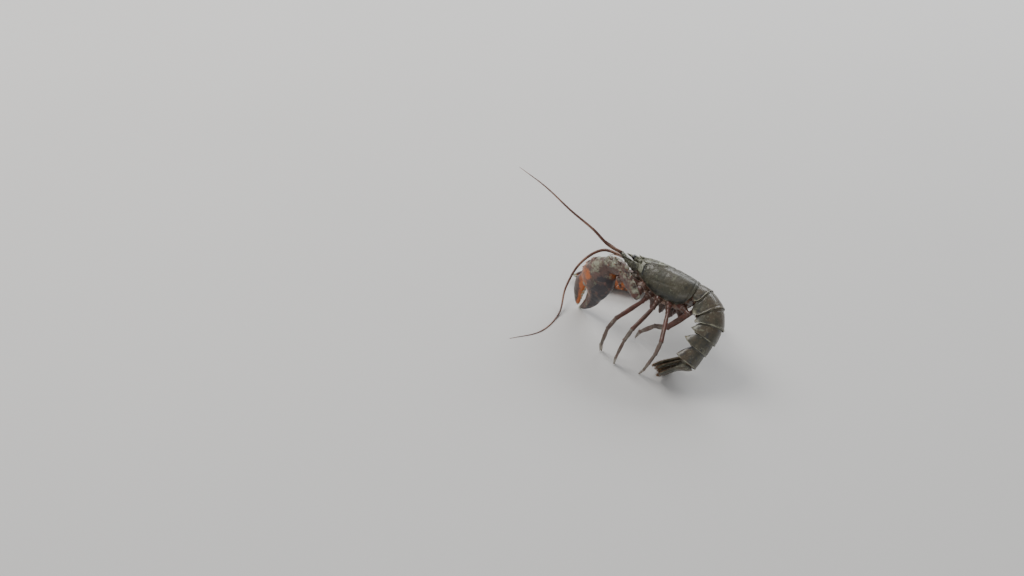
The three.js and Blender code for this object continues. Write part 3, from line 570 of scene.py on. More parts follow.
def carapace_relief(s, degrees, rear):
    """How far the shell stands above the plain trunk: grooves, rims, keels and low swellings."""
    away = s - smooth(GROOVE, degrees)
    before = rear - s
    inside = smooth(MARGIN, s) - degrees
    lift = -1.1 * (1 - 0.75 * step(degrees, 95, 122)) * bump(away, 0, 1.4)
    lift += 0.5 * bump(away, 3.6, 2.6)
    lift += 0.3 * bump(away, -3.4, 2.4)
    lift += -0.75 * bump(before, 3.6, 0.9) + 0.25 * bump(before, 1.4, 1.2)
    lift += -0.42 * bump(degrees, 0, 0.9) * step(s, 51.5, 54) * step(before, 4, 6)
    lift += 0.12 * bump(degrees, 4.0, 3.0) * step(s, 51.5, 56)
    lift += -0.35 * bump(degrees, 47 - 0.12 * (s - 50), 2.2) * step(s, 52, 58) * step(before, 8, 14)
    lift += 0.85 * bump(degrees, 27 - 0.3 * s, 4.0) * (1 - step(s, 9, 24))
    lift += -0.55 * bump(inside, 4.5, 1.6) + 0.3 * bump(inside, 0.5, 1.8)
    lift += 0.7 * bump(s, 7, 5) * bump(degrees, 62, 13)
    lift += -0.45 * bump(degrees, 112 - 0.25 * s, 3.5) * step(s, 22, 34) * (1 - step(s, 58, 76))
    return lift


def carapace_parts():
    """The shell of head and chest, with its pale, warm and dark zones."""
    v = np.linspace(-1, 1, 181)
    front = smooth(FRONT_EDGE, np.abs(v))
    rear = smooth(REAR_EDGE, np.abs(v))
    s = front + np.linspace(0, 1, 120)[:, None] * (rear - front)
    degrees = np.abs(v) * smooth(MARGIN, s)
    angle = np.radians(degrees) * np.sign(v)
    plain = trunk_section(s, angle)
    lift = carapace_relief(s, degrees, rear)
    lift = lift + lumps(plain, 9.0) * 0.28 + lumps(plain, 3.2, 4.0) * (0.10 + 0.14 * (1 - step(s, 24, 44)))
    away = s - smooth(GROOVE, degrees)
    head = 1 - step(away, -3.5, 0.5)
    low = step(degrees, 96, 132)
    edge = np.maximum(bump(smooth(MARGIN, s) - degrees, 0, 3.5), bump(rear - s, 0, 1.6))
    flank = 0.34 * bump(s, 68, 13) * bump(degrees, 58, 26) + 0.06 * bump(degrees, 14, 18)
    cheek = 0.46 * head * (1 - step(degrees, 100, 122))
    # Painted shade: the groove's crease on the side is painted dark.
    groove = 0.95 * bump(away, -0.3, 1.5) * step(degrees, 42, 56) * (1 - step(degrees, 104, 118))
    return plate(
        trunk_section(s, angle, lift), trunk_section(s, angle, lift - 1.3),
        pale=np.clip(cheek + flank * (1 - head) + 0.12 * lumps(plain, 5.0, 3.0) + 0.3 * edge, 0, 1),
        warm=np.clip(0.45 * low * edge + 0.22 * low, 0, 1),
        # The lower flank is darker: partly the shell's own colour, partly painted shade where it curves
        # under.
        dark=np.clip(groove + 0.6 * low * (1 - edge), 0, 1),
    )


# The beak: distance behind the orbit, half breadth, half thickness and height
BEAK = [[-ROSTRUM, 0.3, 0.3, 11.5], [-18.5, 1.3, 1.1, 10.7], [-12, 2.8, 1.8, 10.4], [-4, 4.6, 2.4, 11.2],
        [4, 7, 3, 12.4], [14, 9.5, 3.2, 14.2]]
BEAK_SPINES = ((-3, 4.4, 11.4, 1.0), (-9.5, 3.1, 10.7, 0.95), (-15.5, 2.0, 10.6, 0.75))


def rostrum_parts():
    """The beak between the eyes: two edge keels, a gutter between them and three pairs of side spines."""
    s = np.linspace(-ROSTRUM, 14, 60)[:, None]
    angle = around(40)
    across = np.sin(angle)
    up = np.cos(angle)
    half, thick, height = (smooth(BEAK, s, column) for column in (1, 2, 3))
    top = np.where(up > 0, np.abs(up) ** 0.7, -np.abs(up) ** 1.3)
    keel = 0.55 * half * 0.3 * bump(np.abs(across), 0.86, 0.16) * (up > 0)
    gutter = -0.16 * thick * bump(across, 0, 0.42) * (up > 0)
    grid = rings(s, half * across, height + thick * top + keel + gutter)
    grid = grid + lumps(grid, 2.6)[..., None] * 0.12 * UP
    parts = [tube(grid, pale=0.42 + 0.3 * bump(np.abs(across), 0.9, 0.2), tip=step(-s, 15, 21.5))]
    for y in (LEFT, RIGHT):
        out = vec(0.86, y * 0.42, 0.18)
        for s0, left, height, size in BEAK_SPINES:
            bend = vec(0.1, -y * 0.1, 0.12)
            parts.append(spine(at(s0, y * left, height), out, 1.25 * size, 5.2 * size, bend, pale=0.5))
        parts.append(spine(at(-11.5, y * 1.6, 8.9), vec(0.9, y * 0.2, -0.3), 0.7, 2.6, pale=0.5))
    return parts


def carapace_spines():
    """Spines above and beside the eye, by the antenna, on the cheek and along the groove."""
    large = (
        ((3, 8.6, 13), (0.9, 0.25, 0.2), 1.9, 6.2, (0, 0, 0.12), 0.5),
        ((4, 14.4, 6.8), (0.95, 0.3, 0.1), 2.1, 6.4, (0, -0.08, 0.05), 0.5),
        ((12, 15.6, 8.4), (0.8, 0.6, 0.2), 1.5, 4.2, (0, 0, 0), 0.4),
        ((19, 18.2, -1.5), (0.8, 0.6, 0), 1.5, 4.2, (0, 0, 0), 0.4),
    )
    made = []
    for y in (LEFT, RIGHT):
        side = vec(1, y, 1)
        for root, way, radius, length, bend, pale in large:
            made.append(spine(at(*root) * side, way * side, radius, length, bend * side, pale=pale))
        for s, degrees in ((9, 44), (16, 33), (24, 66), (15, 78), (30, 56), (22, 92), (35, 74)):
            root = trunk_section(np.array(float(s)), np.array(math.radians(degrees) * y), 0.2)
            made.append(spine(root, unit(root * vec(0, 1, 1)) + vec(0.9, 0, 0), 0.8, 1.7, pale=0.4))
    return made


def granules(count):
    """Fine knobs on the front half of the carapace, closer set towards the head."""
    made = []
    for _ in range(count):
        s = 2 + 42 * rng.random() ** 1.5
        degrees = rng.uniform(12, 112)
        y = LEFT if rng.random() < 0.5 else RIGHT
        share = degrees / smooth(MARGIN, s)
        if abs(s - smooth(GROOVE, degrees)) < 2.6 or share > 0.9 or s < smooth(FRONT_EDGE, share) + 2:
            continue
        size = rng.uniform(0.3, 0.66) * (1 - 0.35 * s / 44)
        root = trunk_section(np.array(s), np.array(math.radians(degrees) * y), 0.1)
        made.append(ball(root, (size * 1.3, size, size), sides=8, rows=4, tip=rng.uniform(0.3, 0.8)))
    return made


def underbody_parts():
    """The body wall inside the shell, seen between the shell's edge and the legs, darkened by painted
    shade.
    """
    s = np.linspace(-2.2, CARAPACE - 1.5, 70)[:, None]
    angle = around(72)
    grid = trunk_section(s * np.ones_like(angle), angle * np.ones_like(s), -1.9)
    ribs = 0.5 * np.sin((s - 30) / 12 * 2 * math.pi) * step(np.cos(angle), -0.35, -0.75)
    out = grid * vec(0, 1, 1)
    length = np.maximum(np.linalg.norm(out, axis=-1, keepdims=True), 1e-6)
    grid = grid + out / length * ribs[..., None]
    # Painted shade: darkened all over and most towards the front, as under the shell's edge.
    return [tube(grid, dark=0.35 + 0.45 * (1 - step(s, 6, 24)) * np.ones_like(ribs))]


def sternum_parts():
    """The narrow plate between the legs, with a swelling for each pair."""
    stations = [[6, 2, 13], [11, 5, 17], [18, 8, 22], [30, 9.5, 26], [52, 10.5, 27.6], [72, 9.5, 25.6],
                [82, 7.5, 19.5]]
    s = np.linspace(6, 82, 77)[:, None]
    angle = around(48)
    low = -smooth(stations, s, 2)
    top = -11
    ring = 0.55 * np.cos((s - 35) / 12 * 2 * math.pi)
    keel = -0.5 * bump(np.sin(angle), 0, 0.3) * (np.cos(angle) < 0)
    y = signed(np.sin(angle), 0.7) * (smooth(stations, s, 1) + 0.4 * ring)
    z = (top + low) / 2 + signed(np.cos(angle), 0.7) * ((top - low) / 2 + 0.3 * ring) + keel
    return [tube(rings(s, y, z), 0.5)]


def face_parts():
    """Below the small feelers: the epistome's plate with its ridge, and a knob by each feeler root."""
    s = np.linspace(-3.6, 3.0, 26)[:, None]
    up = np.cos(around(44))
    half = smooth([[-3.6, 1.5], [-2.6, 5.5], [-1, 8.2], [3, 9.5]], s)
    y = half * np.sin(around(44))
    z = -3.2 + up * np.where(up > 0, half * 0.4, half * 0.52)
    grid = np.stack([-s - 0.9 * bump(y, 0, 2.0), y, z], -1)
    grid = grid + (lumps(grid, 2.6) * 0.3)[..., None] * vec(1, 0, 0)
    parts = [tube(grid, 0.3, pale=0.42)]
    for y in (LEFT, RIGHT):
        parts.append(ball(at(-2.2, y * 8.4, -5.7), (1.9, 2.1, 1.9), sides=22, rows=12, pale=0.36))
        parts.append(spine(at(-2.5, y * 2.6, -1.2), vec(1, 0, 0.1), 0.6, 1.6, sides=8, pale=0.4))
    return parts


def mouth_parts(y):
    """A jaw with its hard edge and feeler, and two pairs of small jaw legs lying over it."""
    jaw = [[0, 5, 3.2], [0.5, 4.6, 3.6], [0.85, 3.4, 2.8], [1, 2.2, 1.7]]
    palp = [[0, 1.3, 1.1], [0.6, 1.5, 1.1], [1, 0.8, 0.7]]
    parts = [
        limb(at(12, y * 6.5, -10), at(0.5, y * 2.6, -11.5), UP, jaw, sides=30, pale=0.36, lump=0.4),
        limb(at(1.5, y * 4.2, -9.4), at(-4.2, y * 2.6, -10.6), UP, palp, sides=18, pale=0.3),
    ]
    for inward, low, size in ((1.0, -14.6, 1.0), (0.55, -13.0, 0.75)):
        joints = [at(13, y * 5.6 * inward, low - 2.5), at(-1.5, y * 5.2 * inward, low),
                  at(-6.5, y * 4.4 * inward, low + 0.6), at(-9.0, y * 3.2 * inward, low - 2.6)]
        for k, radii in enumerate(((2.3, 2.5, 1.9), (1.8, 2.0, 1.5), (1.3, 1.4, 0.7))):
            radii = [radius * size for radius in radii]
            parts.append(segment(*joints[k:k + 2], vec(0, y, 0), *radii, 0.7, sides=20, rows=14))
    return parts


# Abdomen


def bent_ways(angle):
    """The ways along the tail and to its back, where it has turned down by an angle."""
    return vec(-math.cos(angle), 0, -math.sin(angle)), vec(-math.sin(angle), 0, math.cos(angle))


def abdomen_frame(distance):
    """Point, turn, way along and way to the back, at a distance along the abdomen's bent axis."""
    point = at(CARAPACE, 0, 0)
    turned_by = 0.0
    for length, bend in SOMITES:
        covered = min(distance, length)
        angle = math.radians(bend) * (covered / length)
        half = turned_by + angle / 2
        chord = covered if angle == 0 else covered * math.sin(angle / 2) / (angle / 2)
        point = point + vec(-math.cos(half), 0, -math.sin(half)) * chord
        turned_by += angle
        distance -= covered
        if distance <= 0:
            break
    return point, turned_by, *bent_ways(turned_by)


def somite_start(k):
    """How far along the bent axis a ring begins."""
    return sum(length for length, _ in SOMITES[:k])


ABDOMEN = somite_start(len(SOMITES))
LAST_RING = len(SOMITES) - 1


def abdomen_half(u):
    """Half the tail's breadth at a distance along it."""
    return 20.5 - 4.2 * u / ABDOMEN


def abdomen_back(u):
    """Height of the tail's back over its axis."""
    return 17 - 4.5 * u / ABDOMEN


def abdomen_belly(u):
    """Depth of the tail's belly under its axis."""
    return 8 - 1.5 * u / ABDOMEN


# Each ring's arch takes this share of its way round, and the side flaps the rest
DOME = 0.6
# Each ring's side flaps: depth, where along the ring the tip lies, and how blunt they are
PLEURON_DEPTH = [9, 20.4, 19.8, 19.2, 18.6, 15]
PLEURON_TIP = [0.1, 0.15, 0.55, 0.6, 0.6, 0.8]
PLEURON_BLUNT = [1.6, 3.6, 2.0, 1.8, 1.8, 1.6]


def somite_axes(k):
    """The rigid frame of a somite: its middle, half its chord, its axes and the lean of its end planes."""
    start = somite_start(k)
    length, bend = SOMITES[k]
    first = abdomen_frame(start + 1e-6)[0]
    last = abdomen_frame(start + length - 1e-6)[0]
    along = unit(last - first)
    lean = math.tan(math.radians(bend) / 2)
    return (first + last) / 2, np.linalg.norm(last - first) / 2, along, np.cross(ACROSS, along), lean


def tergite_parts(k):
    """One ring of the tail: an arched plate whose sides hang down to pointed flaps."""
    middle, chord, along, back, lean = somite_axes(k)
    start = somite_start(k)
    length = SOMITES[k][0]
    depth = PLEURON_DEPTH[k]
    v = np.linspace(-1, 1, 141)
    w = np.linspace(0, 1, 34)[:, None]
    q = np.clip((np.abs(v) - DOME) / (1 - DOME), 0, 1)
    over = np.clip(np.abs(v) / DOME, 0, 1) * math.pi / 2
    lap = 1.5 if k < LAST_RING else 0.4
    tip = PLEURON_TIP[k] * chord
    reach = chord + (np.cos(over) ** 0.95 * abdomen_back(start + length / 2) * (q == 0) - q * depth) * lean
    reach_low = np.maximum(chord - 3 * q * lean * 4, 0.75 * chord)
    front_low = mix(-reach_low - 0.4, tip - 0.3, q ** PLEURON_BLUNT[k])
    rear_low = mix(reach_low + lap, tip + 0.3, q ** (PLEURON_BLUNT[k] * 1.7))
    soft = step(q, 0.0, 0.22)
    front = mix(-reach - 1.3, front_low, soft)
    rear = mix(reach + lap, rear_low, soft)
    a = front + w * (rear - front)
    u = np.clip(start + length / 2 + a, start, start + length)
    sag = 0.13 * chord * np.abs(lean) * 4 * (1 - (2 * w - 1) ** 2) * np.cos(over) * (q == 0)
    facet = -0.5 * bump(w, 0.2, 0.045) * (1 - step(q, 0.2, 0.6)) - 0.25 * (1 - step(w, 0.0, 0.2))
    rim = 0.3 * bump(w, 0.965, 0.03) - 0.3 * bump(w, 0.88, 0.03)
    plain_lift = -0.75 + 1.55 * w + sag + (facet + rim) * (1 - 0.6 * q) + 0.25 * bump(q, 0.94, 0.05)
    bow = 1.1 * np.sin(math.pi * q) - 2.2 * q ** 2 + (w - 0.5) * 0.9 * q

    def points(grow):
        lift = plain_lift + grow
        half = abdomen_half(u) + lift
        y = np.where(q > 0, half + bow, np.sin(over) ** 0.95 * half)
        z = np.where(q > 0, -q * depth, np.cos(over) ** 0.95 * (abdomen_back(u) + lift))
        return spread(middle, (a, along), (np.sign(v) * y, ACROSS), (z, back))

    plain = points(0.0)
    outer = points(lumps(plain, 6.0, 2.0) * 0.22 + lumps(plain, 2.4, 6.0) * 0.08)
    inner = points(-1.15 + 0.45 * step(q, 0.5, 1.0))
    edge = np.maximum(bump(w, 1, 0.07), bump(q, 1.0, 0.22))
    flap = 0.30 * step(q, 0.1, 0.9)
    return [plate(
        outer, inner,
        pale=np.clip(0.34 * edge + 0.5 * flap + 0.18 + 0.14 * lumps(plain, 6.0, 5.0), 0, 1),
        warm=0.35 * bump(q, 0.9, 0.2),
        # Painted shade: a dark strip at each ring's front, under the ring ahead, and the rings from the
        # fourth on darker towards the end.
        dark=0.4 * bump(w, 0.05, 0.14) + 0.11 * max(0, k - 2),
    )]


def tail_flesh_parts():
    """The soft underside of the tail inside the plates, with a bar across at each joint."""
    u = np.linspace(0.5, ABDOMEN - 0.5, 90)
    up = np.cos(around(48))
    y = signed(np.sin(around(48)), 0.85)[:, None] * ACROSS
    joints = [somite_start(k) for k in range(len(SOMITES) + 1)]
    rows = []
    for value in u:
        point, _, _, back = abdomen_frame(value)
        bar = 0.9 * sum(bump(value, joint, 1.6) for joint in joints)
        height = np.where(up > 0, abdomen_back(value) - 3.4, abdomen_belly(value) - 0.2 + bar)
        z = (signed(up, 0.8) * height)[:, None]
        rows.append(point + y * (abdomen_half(value) - 3.0) + z * back)
    return [tube(np.array(rows), 0.45, dark=(0.6 * step(u, ABDOMEN - 6, ABDOMEN - 1))[:, None])]


def swimmeret_parts(k):
    """A pair of two-bladed paddles under a somite, with the edges that carry hair."""
    leaf = [[-0.02, 0.9, 0.5], [0.1, 1.65, 0.5], [0.45, 3.0, 0.4], [0.8, 2.4, 0.3], [0.96, 1.05, 0.2],
            [1, 0.3, 0.15]]
    stem = [[0, 2.3, 1.6], [0.5, 2.5, 1.5], [1.1, 1.8, 1.2]]
    middle = somite_start(k) + SOMITES[k][0] * 0.5
    point, _, along, back = abdomen_frame(middle)
    parts = []
    edges = []
    for y in (LEFT, RIGHT):
        root = point + vec(0, y * 9, 0) - back * (abdomen_belly(middle) - 2)
        knee = root - back * 4.4 + along * 0.8
        parts.append(limb(root, knee, along, stem, rows=12, sides=18))
        for lean, reach in ((-3.0, 10.5), (2.6, 9.6)):
            tip = knee - back * reach + along * 3.4 + vec(0, y * lean, 0)
            parts.append(limb(knee, tip, along, leaf, rows=24, sides=24))
            edges.append((knee, tip, along, leaf))
    return parts, edges


# Tail fan

fan_point, fan_turned = abdomen_frame(ABDOMEN)[:2]
FAN_ALONG, FAN_BACK = bent_ways(fan_turned + math.radians(TELSON_BEND))


def fan_place(along, left, up):
    """A point by its distance along the fan, to the left and over it."""
    return fan_point + FAN_ALONG * along + FAN_BACK * up + vec(0, left, 0)


def fan_blade(root, tip, stations, ribs, suture=None, rise=0.0):
    """A flat blade with ribs along its back and, on the outer pair, a toothed seam across it."""
    _, broad, thin = axes(root, tip, FAN_BACK)
    t = np.linspace(stations[0][0], 1, 60)[:, None]
    c = np.cos(around(72))
    s = np.sin(around(72))
    lift = np.zeros((60, 72))
    for place, width in ribs:
        lift += 0.55 * bump(c, place, width) * (1 - step(t, 0.7, 0.95)) * (s > 0)
    if suture:
        place = suture - 0.05 * c ** 2
        lift += (-0.45 * bump(t, place + 0.012, 0.012) + 0.3 * bump(t, place - 0.015, 0.02)) * (s > 0)
    lift += rise * (1 - step(t, -0.08, 0.42)) * (s > 0)
    wave = 0.10 * np.sin(t * 240) * step(t, 0.5, 0.9)
    across = smooth(stations, t, 1) * c + wave * c
    thick = smooth(stations, t, 2) * signed(s, 0.8) + lift * np.abs(s) ** 0.5
    grid = spread(root, (t, tip - root), (across, broad), (thick, thin))
    grid = spread(grid, (lumps(grid, 3.0) * 0.10, thin))
    edge = 0.40 * np.maximum(bump(np.abs(c), 1, 0.16), step(t, 0.9, 1.0))
    return tube(grid, pale=edge, warm=edge * step(t, 0.4, 1.0), along=np.clip(t, 0, 1))


def telson_parts():
    """The middle blade of the fan with its corner spines, and its edge for the hair."""
    root = fan_place(0, 0, 1.5)
    tip = fan_place(TELSON, 0, 1.5)
    stations = [[-0.08, 9.5, 3.2], [0.1, 12.5, 2.9], [0.45, 12.4, 2.1], [0.8, 11, 1.6], [0.9, 9.7, 1.3],
                [0.96, 7.4, 1.05], [0.99, 4.4, 0.8], [1, 2.2, 0.6]]
    parts = [fan_blade(root, tip, stations, [(0.5, 0.09), (-0.5, 0.09)], rise=6.0)]
    for y in (LEFT, RIGHT):
        for place, size in ((0.86, 1.0), (0.80, 0.6)):
            spot = fan_place(TELSON * place, y * 10.2, 1.8)
            parts.append(spine(spot, FAN_ALONG + vec(0, y * 0.35, 0), 0.9 * size, 3.0 * size, pale=0.4))
    return parts, (root, tip, FAN_BACK, stations)


# Side blades: distance to the side, drop, lean in degrees, length, half breadth, ribs, seam, and the
# hinge's distance to the side, height and radii
SIDE_BLADES = {
    "inner": (10, -3.6, 8, 34, 8.8, [(0.05, 0.07)], None, (9.5, -4.6), (4.4, 4.2, 4.2)),
    "outer": (11.5, -7, 15, 36, 9.6, [(0.1, 0.07), (0.4, 0.06)], 0.78, (12.0, -3.2), (5.0, 4.4, 5.4)),
}
# Their outline: share of the length, of the half breadth and of the thickness
SIDE_OUTLINE = [[-0.04, 0.42, 1.2], [0.12, 0.6, 1.15], [0.35, 0.86, 1], [0.62, 1, 0.85], [0.82, 0.92, 0.7],
                [0.93, 0.70, 0.55], [0.985, 0.36, 0.42], [1, 0.14, 0.35]]


def uropod_parts(y, name):
    """A side blade of the fan with its hinge, and its edge for the hair."""
    left, drop, lean, length, half, ribs, seam, hinge, radii = SIDE_BLADES[name]
    lean = math.radians(lean)
    root = fan_place(2, y * left, drop)
    tip = fan_place(2 + length * math.cos(lean), y * (left + length * math.sin(lean)), drop - 1.2)
    stations = [[t, half * breadth, 1.25 * thickness] for t, breadth, thickness in SIDE_OUTLINE]
    parts = [fan_blade(root, tip, stations, ribs, seam)]
    _, broad, thin = axes(root, tip, FAN_BACK)
    if seam:
        for k in np.linspace(-0.86, 0.86, 15):
            spot = root + (0.765 - 0.05 * k * k) * (tip - root) + broad * 9.2 * k + thin * 0.85
            parts.append(spine(spot, tip - root + thin * 4, 0.5, 1.7, sides=6, rows=5, pale=0.3))
    centre = fan_place(0.2, y * hinge[0], hinge[1])
    parts.append(ball(centre, radii, (FAN_ALONG, ACROSS, FAN_BACK), 30, 16, pale=0.2))
    return parts, (root, tip, FAN_BACK, stations)


# Hair fringes: fine tapered bristles, each on its own small patch of the piece's unwrap

# A bristle's faces by their corners, how far along it each corner is, and where on its patch
BRISTLE = ((0, 1, 4, 3), (1, 2, 5, 4), (2, 0, 3, 5), (3, 4, 6), (4, 5, 6), (5, 3, 6), (2, 1, 0))
ALONG_BRISTLE = (0, 0, 0, 0.5, 0.5, 0.5, 1)
PATCH = ((-0.0015, 0), (0.0015, 0), (0, 0.0005), (-0.001, 0.001), (0.001, 0.001), (0, 0.0015), (0, 0.003))


def outline(stations, size, start):
    """A blade's edge: the points at given lengths round it, its whole length and half its breadth."""
    t = np.linspace(start, stations[-1][0], 200)
    half = smooth(stations, t)
    path = np.vstack([np.stack([t * size, half], -1), np.stack([t[::-1] * size, -half[::-1]], -1)])
    run = np.concatenate([[0], np.cumsum(np.linalg.norm(np.diff(path, axis=0), axis=1))])

    def spot(where):
        where = np.clip(where, 0, run[-1])
        return np.stack([np.interp(where, run, path[:, k]) for k in (0, 1)], -1)

    return spot, run[-1], max(half.max(), 1e-6)


def fringe(name, length, count, start, first):
    """Bristles along the outline of flat blades, as one mesh."""
    edges = hairy[name]
    points = []
    faces = []
    uvs = []
    for number, (root, tip, flat, stations) in enumerate(edges):
        way, broad, thin = axes(root, tip, flat)
        size = np.linalg.norm(tip - root)
        spot, whole, half = outline(stations, size, start)
        where = np.linspace(0, whole, count) + rng.uniform(-0.5, 0.5, count) * whole / count
        where = np.clip(where, 0, whole)
        slope = spot(where + 0.3) - spot(where - 0.3)
        normal = np.stack([-slope[:, 1], slope[:, 0]], -1)
        normal /= np.maximum(np.hypot(*slope.T), 1e-6)[:, None]
        for (x, y), (ahead, aside) in zip(spot(where), normal):
            out = way * ahead + broad * aside
            out = unit(out + way * 0.55 + broad * rng.normal(0, 0.25) + thin * rng.normal(0, 0.22))
            base = root + way * x + broad * y - out * 0.5 + thin * rng.uniform(-0.25, 0.25)
            reach = length * rng.uniform(0.65, 1.1) * (first + (1 - first) * step(x / size, start, 0.75))
            drop = thin * rng.normal(0, 0.12) * reach
            side = unit(np.cross(out, thin)) * 0.11
            mid = base + out * reach * 0.55 + drop * 0.3
            faces += [tuple(len(points) + corner for corner in face) for face in BRISTLE]
            points += [base - side, base + side, base + thin * 0.12, mid - side * 0.7, mid + side * 0.7,
                       mid + thin * 0.08, base + out * reach + drop]
            u0 = (number + 0.1 + 0.8 * x / size) / len(edges)
            v0 = 0.5 + 0.4 * y / half
            uvs += [(u0 + u, v0 + v) for u, v in PATCH]
    along = np.tile(ALONG_BRISTLE, len(points) // len(ALONG_BRISTLE))
    parts = [(np.array(points), faces, {"along": along})]
    made = piece(f"hair_{name}", parts, "hair", floor=True)
    layer = made.data.uv_layers.new(name="OFBake")
    for loop in made.data.loops:
        layer.data[loop.index].uv = uvs[loop.vertex_index]


# Eyes


def eye_parts(y):
    """The black ball of an eye."""
    centre = eyeball_centre(y)
    out = unit(centre - at(2, y * 5, 7.8))
    side = unit(np.cross(out, UP))
    ways = np.array([side, np.cross(out, side), out])
    return [ball(centre, (EYE, EYE * 0.96, EYE * 0.98), ways, sides=64, rows=40)]


def stalk_parts(y):
    """The short stalk that cups an eye."""
    root = at(2, y * 5, 7.8)
    centre = eyeball_centre(y)
    out = unit(centre - root)
    end = centre - out * 0.6
    stations = [[-0.1, 2.5, 2.4], [0.25, 2.5, 2.4], [0.5, 2.9, 2.8], [0.72, 3.5, 3.4], [0.9, 4.02, 3.95],
                [1.0, 4.0, 3.9], [1.04, 3.6, 3.5]]
    return [limb(root, end, UP, stations, rows=30, sides=40, lump=0.12, pale=0.55)]


# Feelers


def antenna_points(y):
    """The joints of a long feeler's root."""
    return [at(0, y * 11, -1), at(-9, y * 12.5, 0), at(-16, y * 13, 3), at(-24, y * 13, 7)]


def curve_points(points, count):
    """Evenly spaced points on a centripetal curve through given points."""
    points = [np.array(p, float) for p in points]
    padded = [2 * points[0] - points[1], *points, 2 * points[-1] - points[-2]]
    fine = []
    for k in range(len(points) - 1):
        p0, p1, p2, p3 = padded[k:k + 4]
        d0, d1, d2 = (np.linalg.norm(b - a) ** 0.5 for a, b in ((p0, p1), (p1, p2), (p2, p3)))
        t1 = ((p1 - p0) / d0 - (p2 - p0) / (d0 + d1) + (p2 - p1) / d1) * d1
        t2 = ((p2 - p1) / d1 - (p3 - p1) / (d1 + d2) + (p3 - p2) / d2) * d1
        t = np.linspace(0, 1, 120, endpoint=False)[:, None]
        square = 3 * (p2 - p1) - 2 * t1 - t2
        cube = 2 * (p1 - p2) + t1 + t2
        fine.append(p1 + t1 * t + square * t ** 2 + cube * t ** 3)
    fine = np.vstack([*fine, points[-1][None]])
    run = np.concatenate([[0], np.cumsum(np.linalg.norm(np.diff(fine, axis=0), axis=1))])
    where = np.linspace(0, run[-1], count)
    return np.stack([np.interp(where, run, fine[:, k]) for k in range(3)], -1), run[-1]


def along_curve(middle, radius, sides, **values):
    """A round tube along points, with a radius at each."""
    way = np.gradient(middle, axis=0)
    way /= np.linalg.norm(way, axis=1)[:, None]
    across = np.cross(way, vec(0.1, 0.2, 1))
    across /= np.linalg.norm(across, axis=1)[:, None]
    c = np.cos(around(sides))[:, None]
    s = np.sin(around(sides))[:, None]
    ring = c * across[:, None] + s * np.cross(across, way)[:, None]
    return tube(middle[:, None] + radius[:, None, None] * ring, **values)


def whip(points, thick, thin, ring, sides):
    """A ringed whip: each joint swells a little towards its far end."""
    length = curve_points(points, 2)[1]
    middle = curve_points(points, int(length / ring) * 4 + 1)[0]
    t = np.linspace(0, 1, len(middle))
    beat = np.arange(len(middle)) % 4
    swell = 1 + 0.05 * np.array([-0.9, 0.1, 0.5, 1.0])[beat]
    radius = (thick * (1 - t) ** 0.8 + thin) * swell
    band = step(np.sin(t * length / 9.0), 0.2, 0.8) * 0.5
    dark = 0.45 * (beat == 0)
    return along_curve(middle, radius, sides, dark=dark[:, None], pale=band[:, None], along=t[:, None])


def flagellum_points(y):
    """Where a long feeler passes: the left one in the air, the right one down to the floor."""
    base = antenna_points(y)[3]
    if y == LEFT:
        return [base, beside(-82, 12, 30), beside(-104, 2, 58), beside(-134, -4, 84),
                beside(-170, 4, 106), beside(-210, 26, 112)]
    return [base, beside(-90, 46, -8), world(-118, 44, 46), world(-130, 22, 18), world(-130, -14, 2.4),
            world(-146, -54, 0.55), world(-182, -80, 0.15)]


def segment(start, end, flat, b0, bm, b1, flatness=0.8, collar=1.07, neck=0.62, **values):
    """A limb joint: a narrow neck, a swelling body and a collar round the next joint."""
    breadths = ((-0.07, b0 * neck), (0.0, b0 * 0.86), (0.07, b0), (0.5, bm), (0.9, b1),
                (0.955, b1 * collar), (0.99, b1 * collar), (1.01, b1 * 0.85))
    stations = [[t, breadth, breadth * flatness] for t, breadth in breadths]
    stations[1][2] = b0 * 0.84 * flatness
    values.setdefault("lump", 0.16)
    base = values.get("pale", 0.0)
    values["pale"] = lambda t, angle, grid: base + 0.2 * bump(t, 0.98, 0.04) + 0.12 * lumps(grid, 4.5, 4.0)
    return limb(start, end, flat, stations, **values)


def antenna_base_parts(y):
    """The thick root of a long feeler, with the toothed scale beside it."""
    points = antenna_points(y)
    root = [[0, 4.6, 4.8], [0.35, 5.4, 5.2], [0.6, 5.5, 5.0], [0.88, 5.0, 4.5], [0.96, 5.1, 4.6],
            [1.02, 4.2, 3.8]]
    scale = [[-0.1, 2.4, 1.3], [0.3, 3.2, 1.15], [0.75, 2.4, 0.8], [0.93, 1.0, 0.5], [1.04, 0.25, 0.25]]
    scale_line = (at(-4, y * 15, 2.5), at(-21, y * 17, 4), UP)
    parts = [
        limb(points[0] + vec(-4, 0, 0), points[1], UP, root, sides=40, lump=0.25, pale=0.45),
        segment(points[1], points[2], UP, 4.0, 4.3, 3.7, 0.92, sides=36, pale=0.45),
        segment(points[2], points[3], UP, 3.2, 3.4, 2.7, 0.95, sides=36, pale=0.45),
        limb(*scale_line, scale, sides=30, pale=0.4),
    ]
    for k, place in enumerate(np.linspace(0.25, 0.85, 6)):
        foot, _ = limb_point(*scale_line, scale, place, 0 if y == RIGHT else math.pi, -0.2)
        parts.append(spine(foot, vec(0.9, y * 0.5, 0), 0.45, 1.5 + 0.1 * k, sides=7, rows=5, pale=0.4))
    parts.append(spine(at(-8.5, y * 16.2, -1), vec(0.95, y * 0.2, 0), 0.9, 3.0, pale=0.4))
    parts.append(spine(at(-15, y * 15.0, 4.4), vec(0.95, y * 0.3, 0.1), 0.7, 2.2, pale=0.4))
    return parts


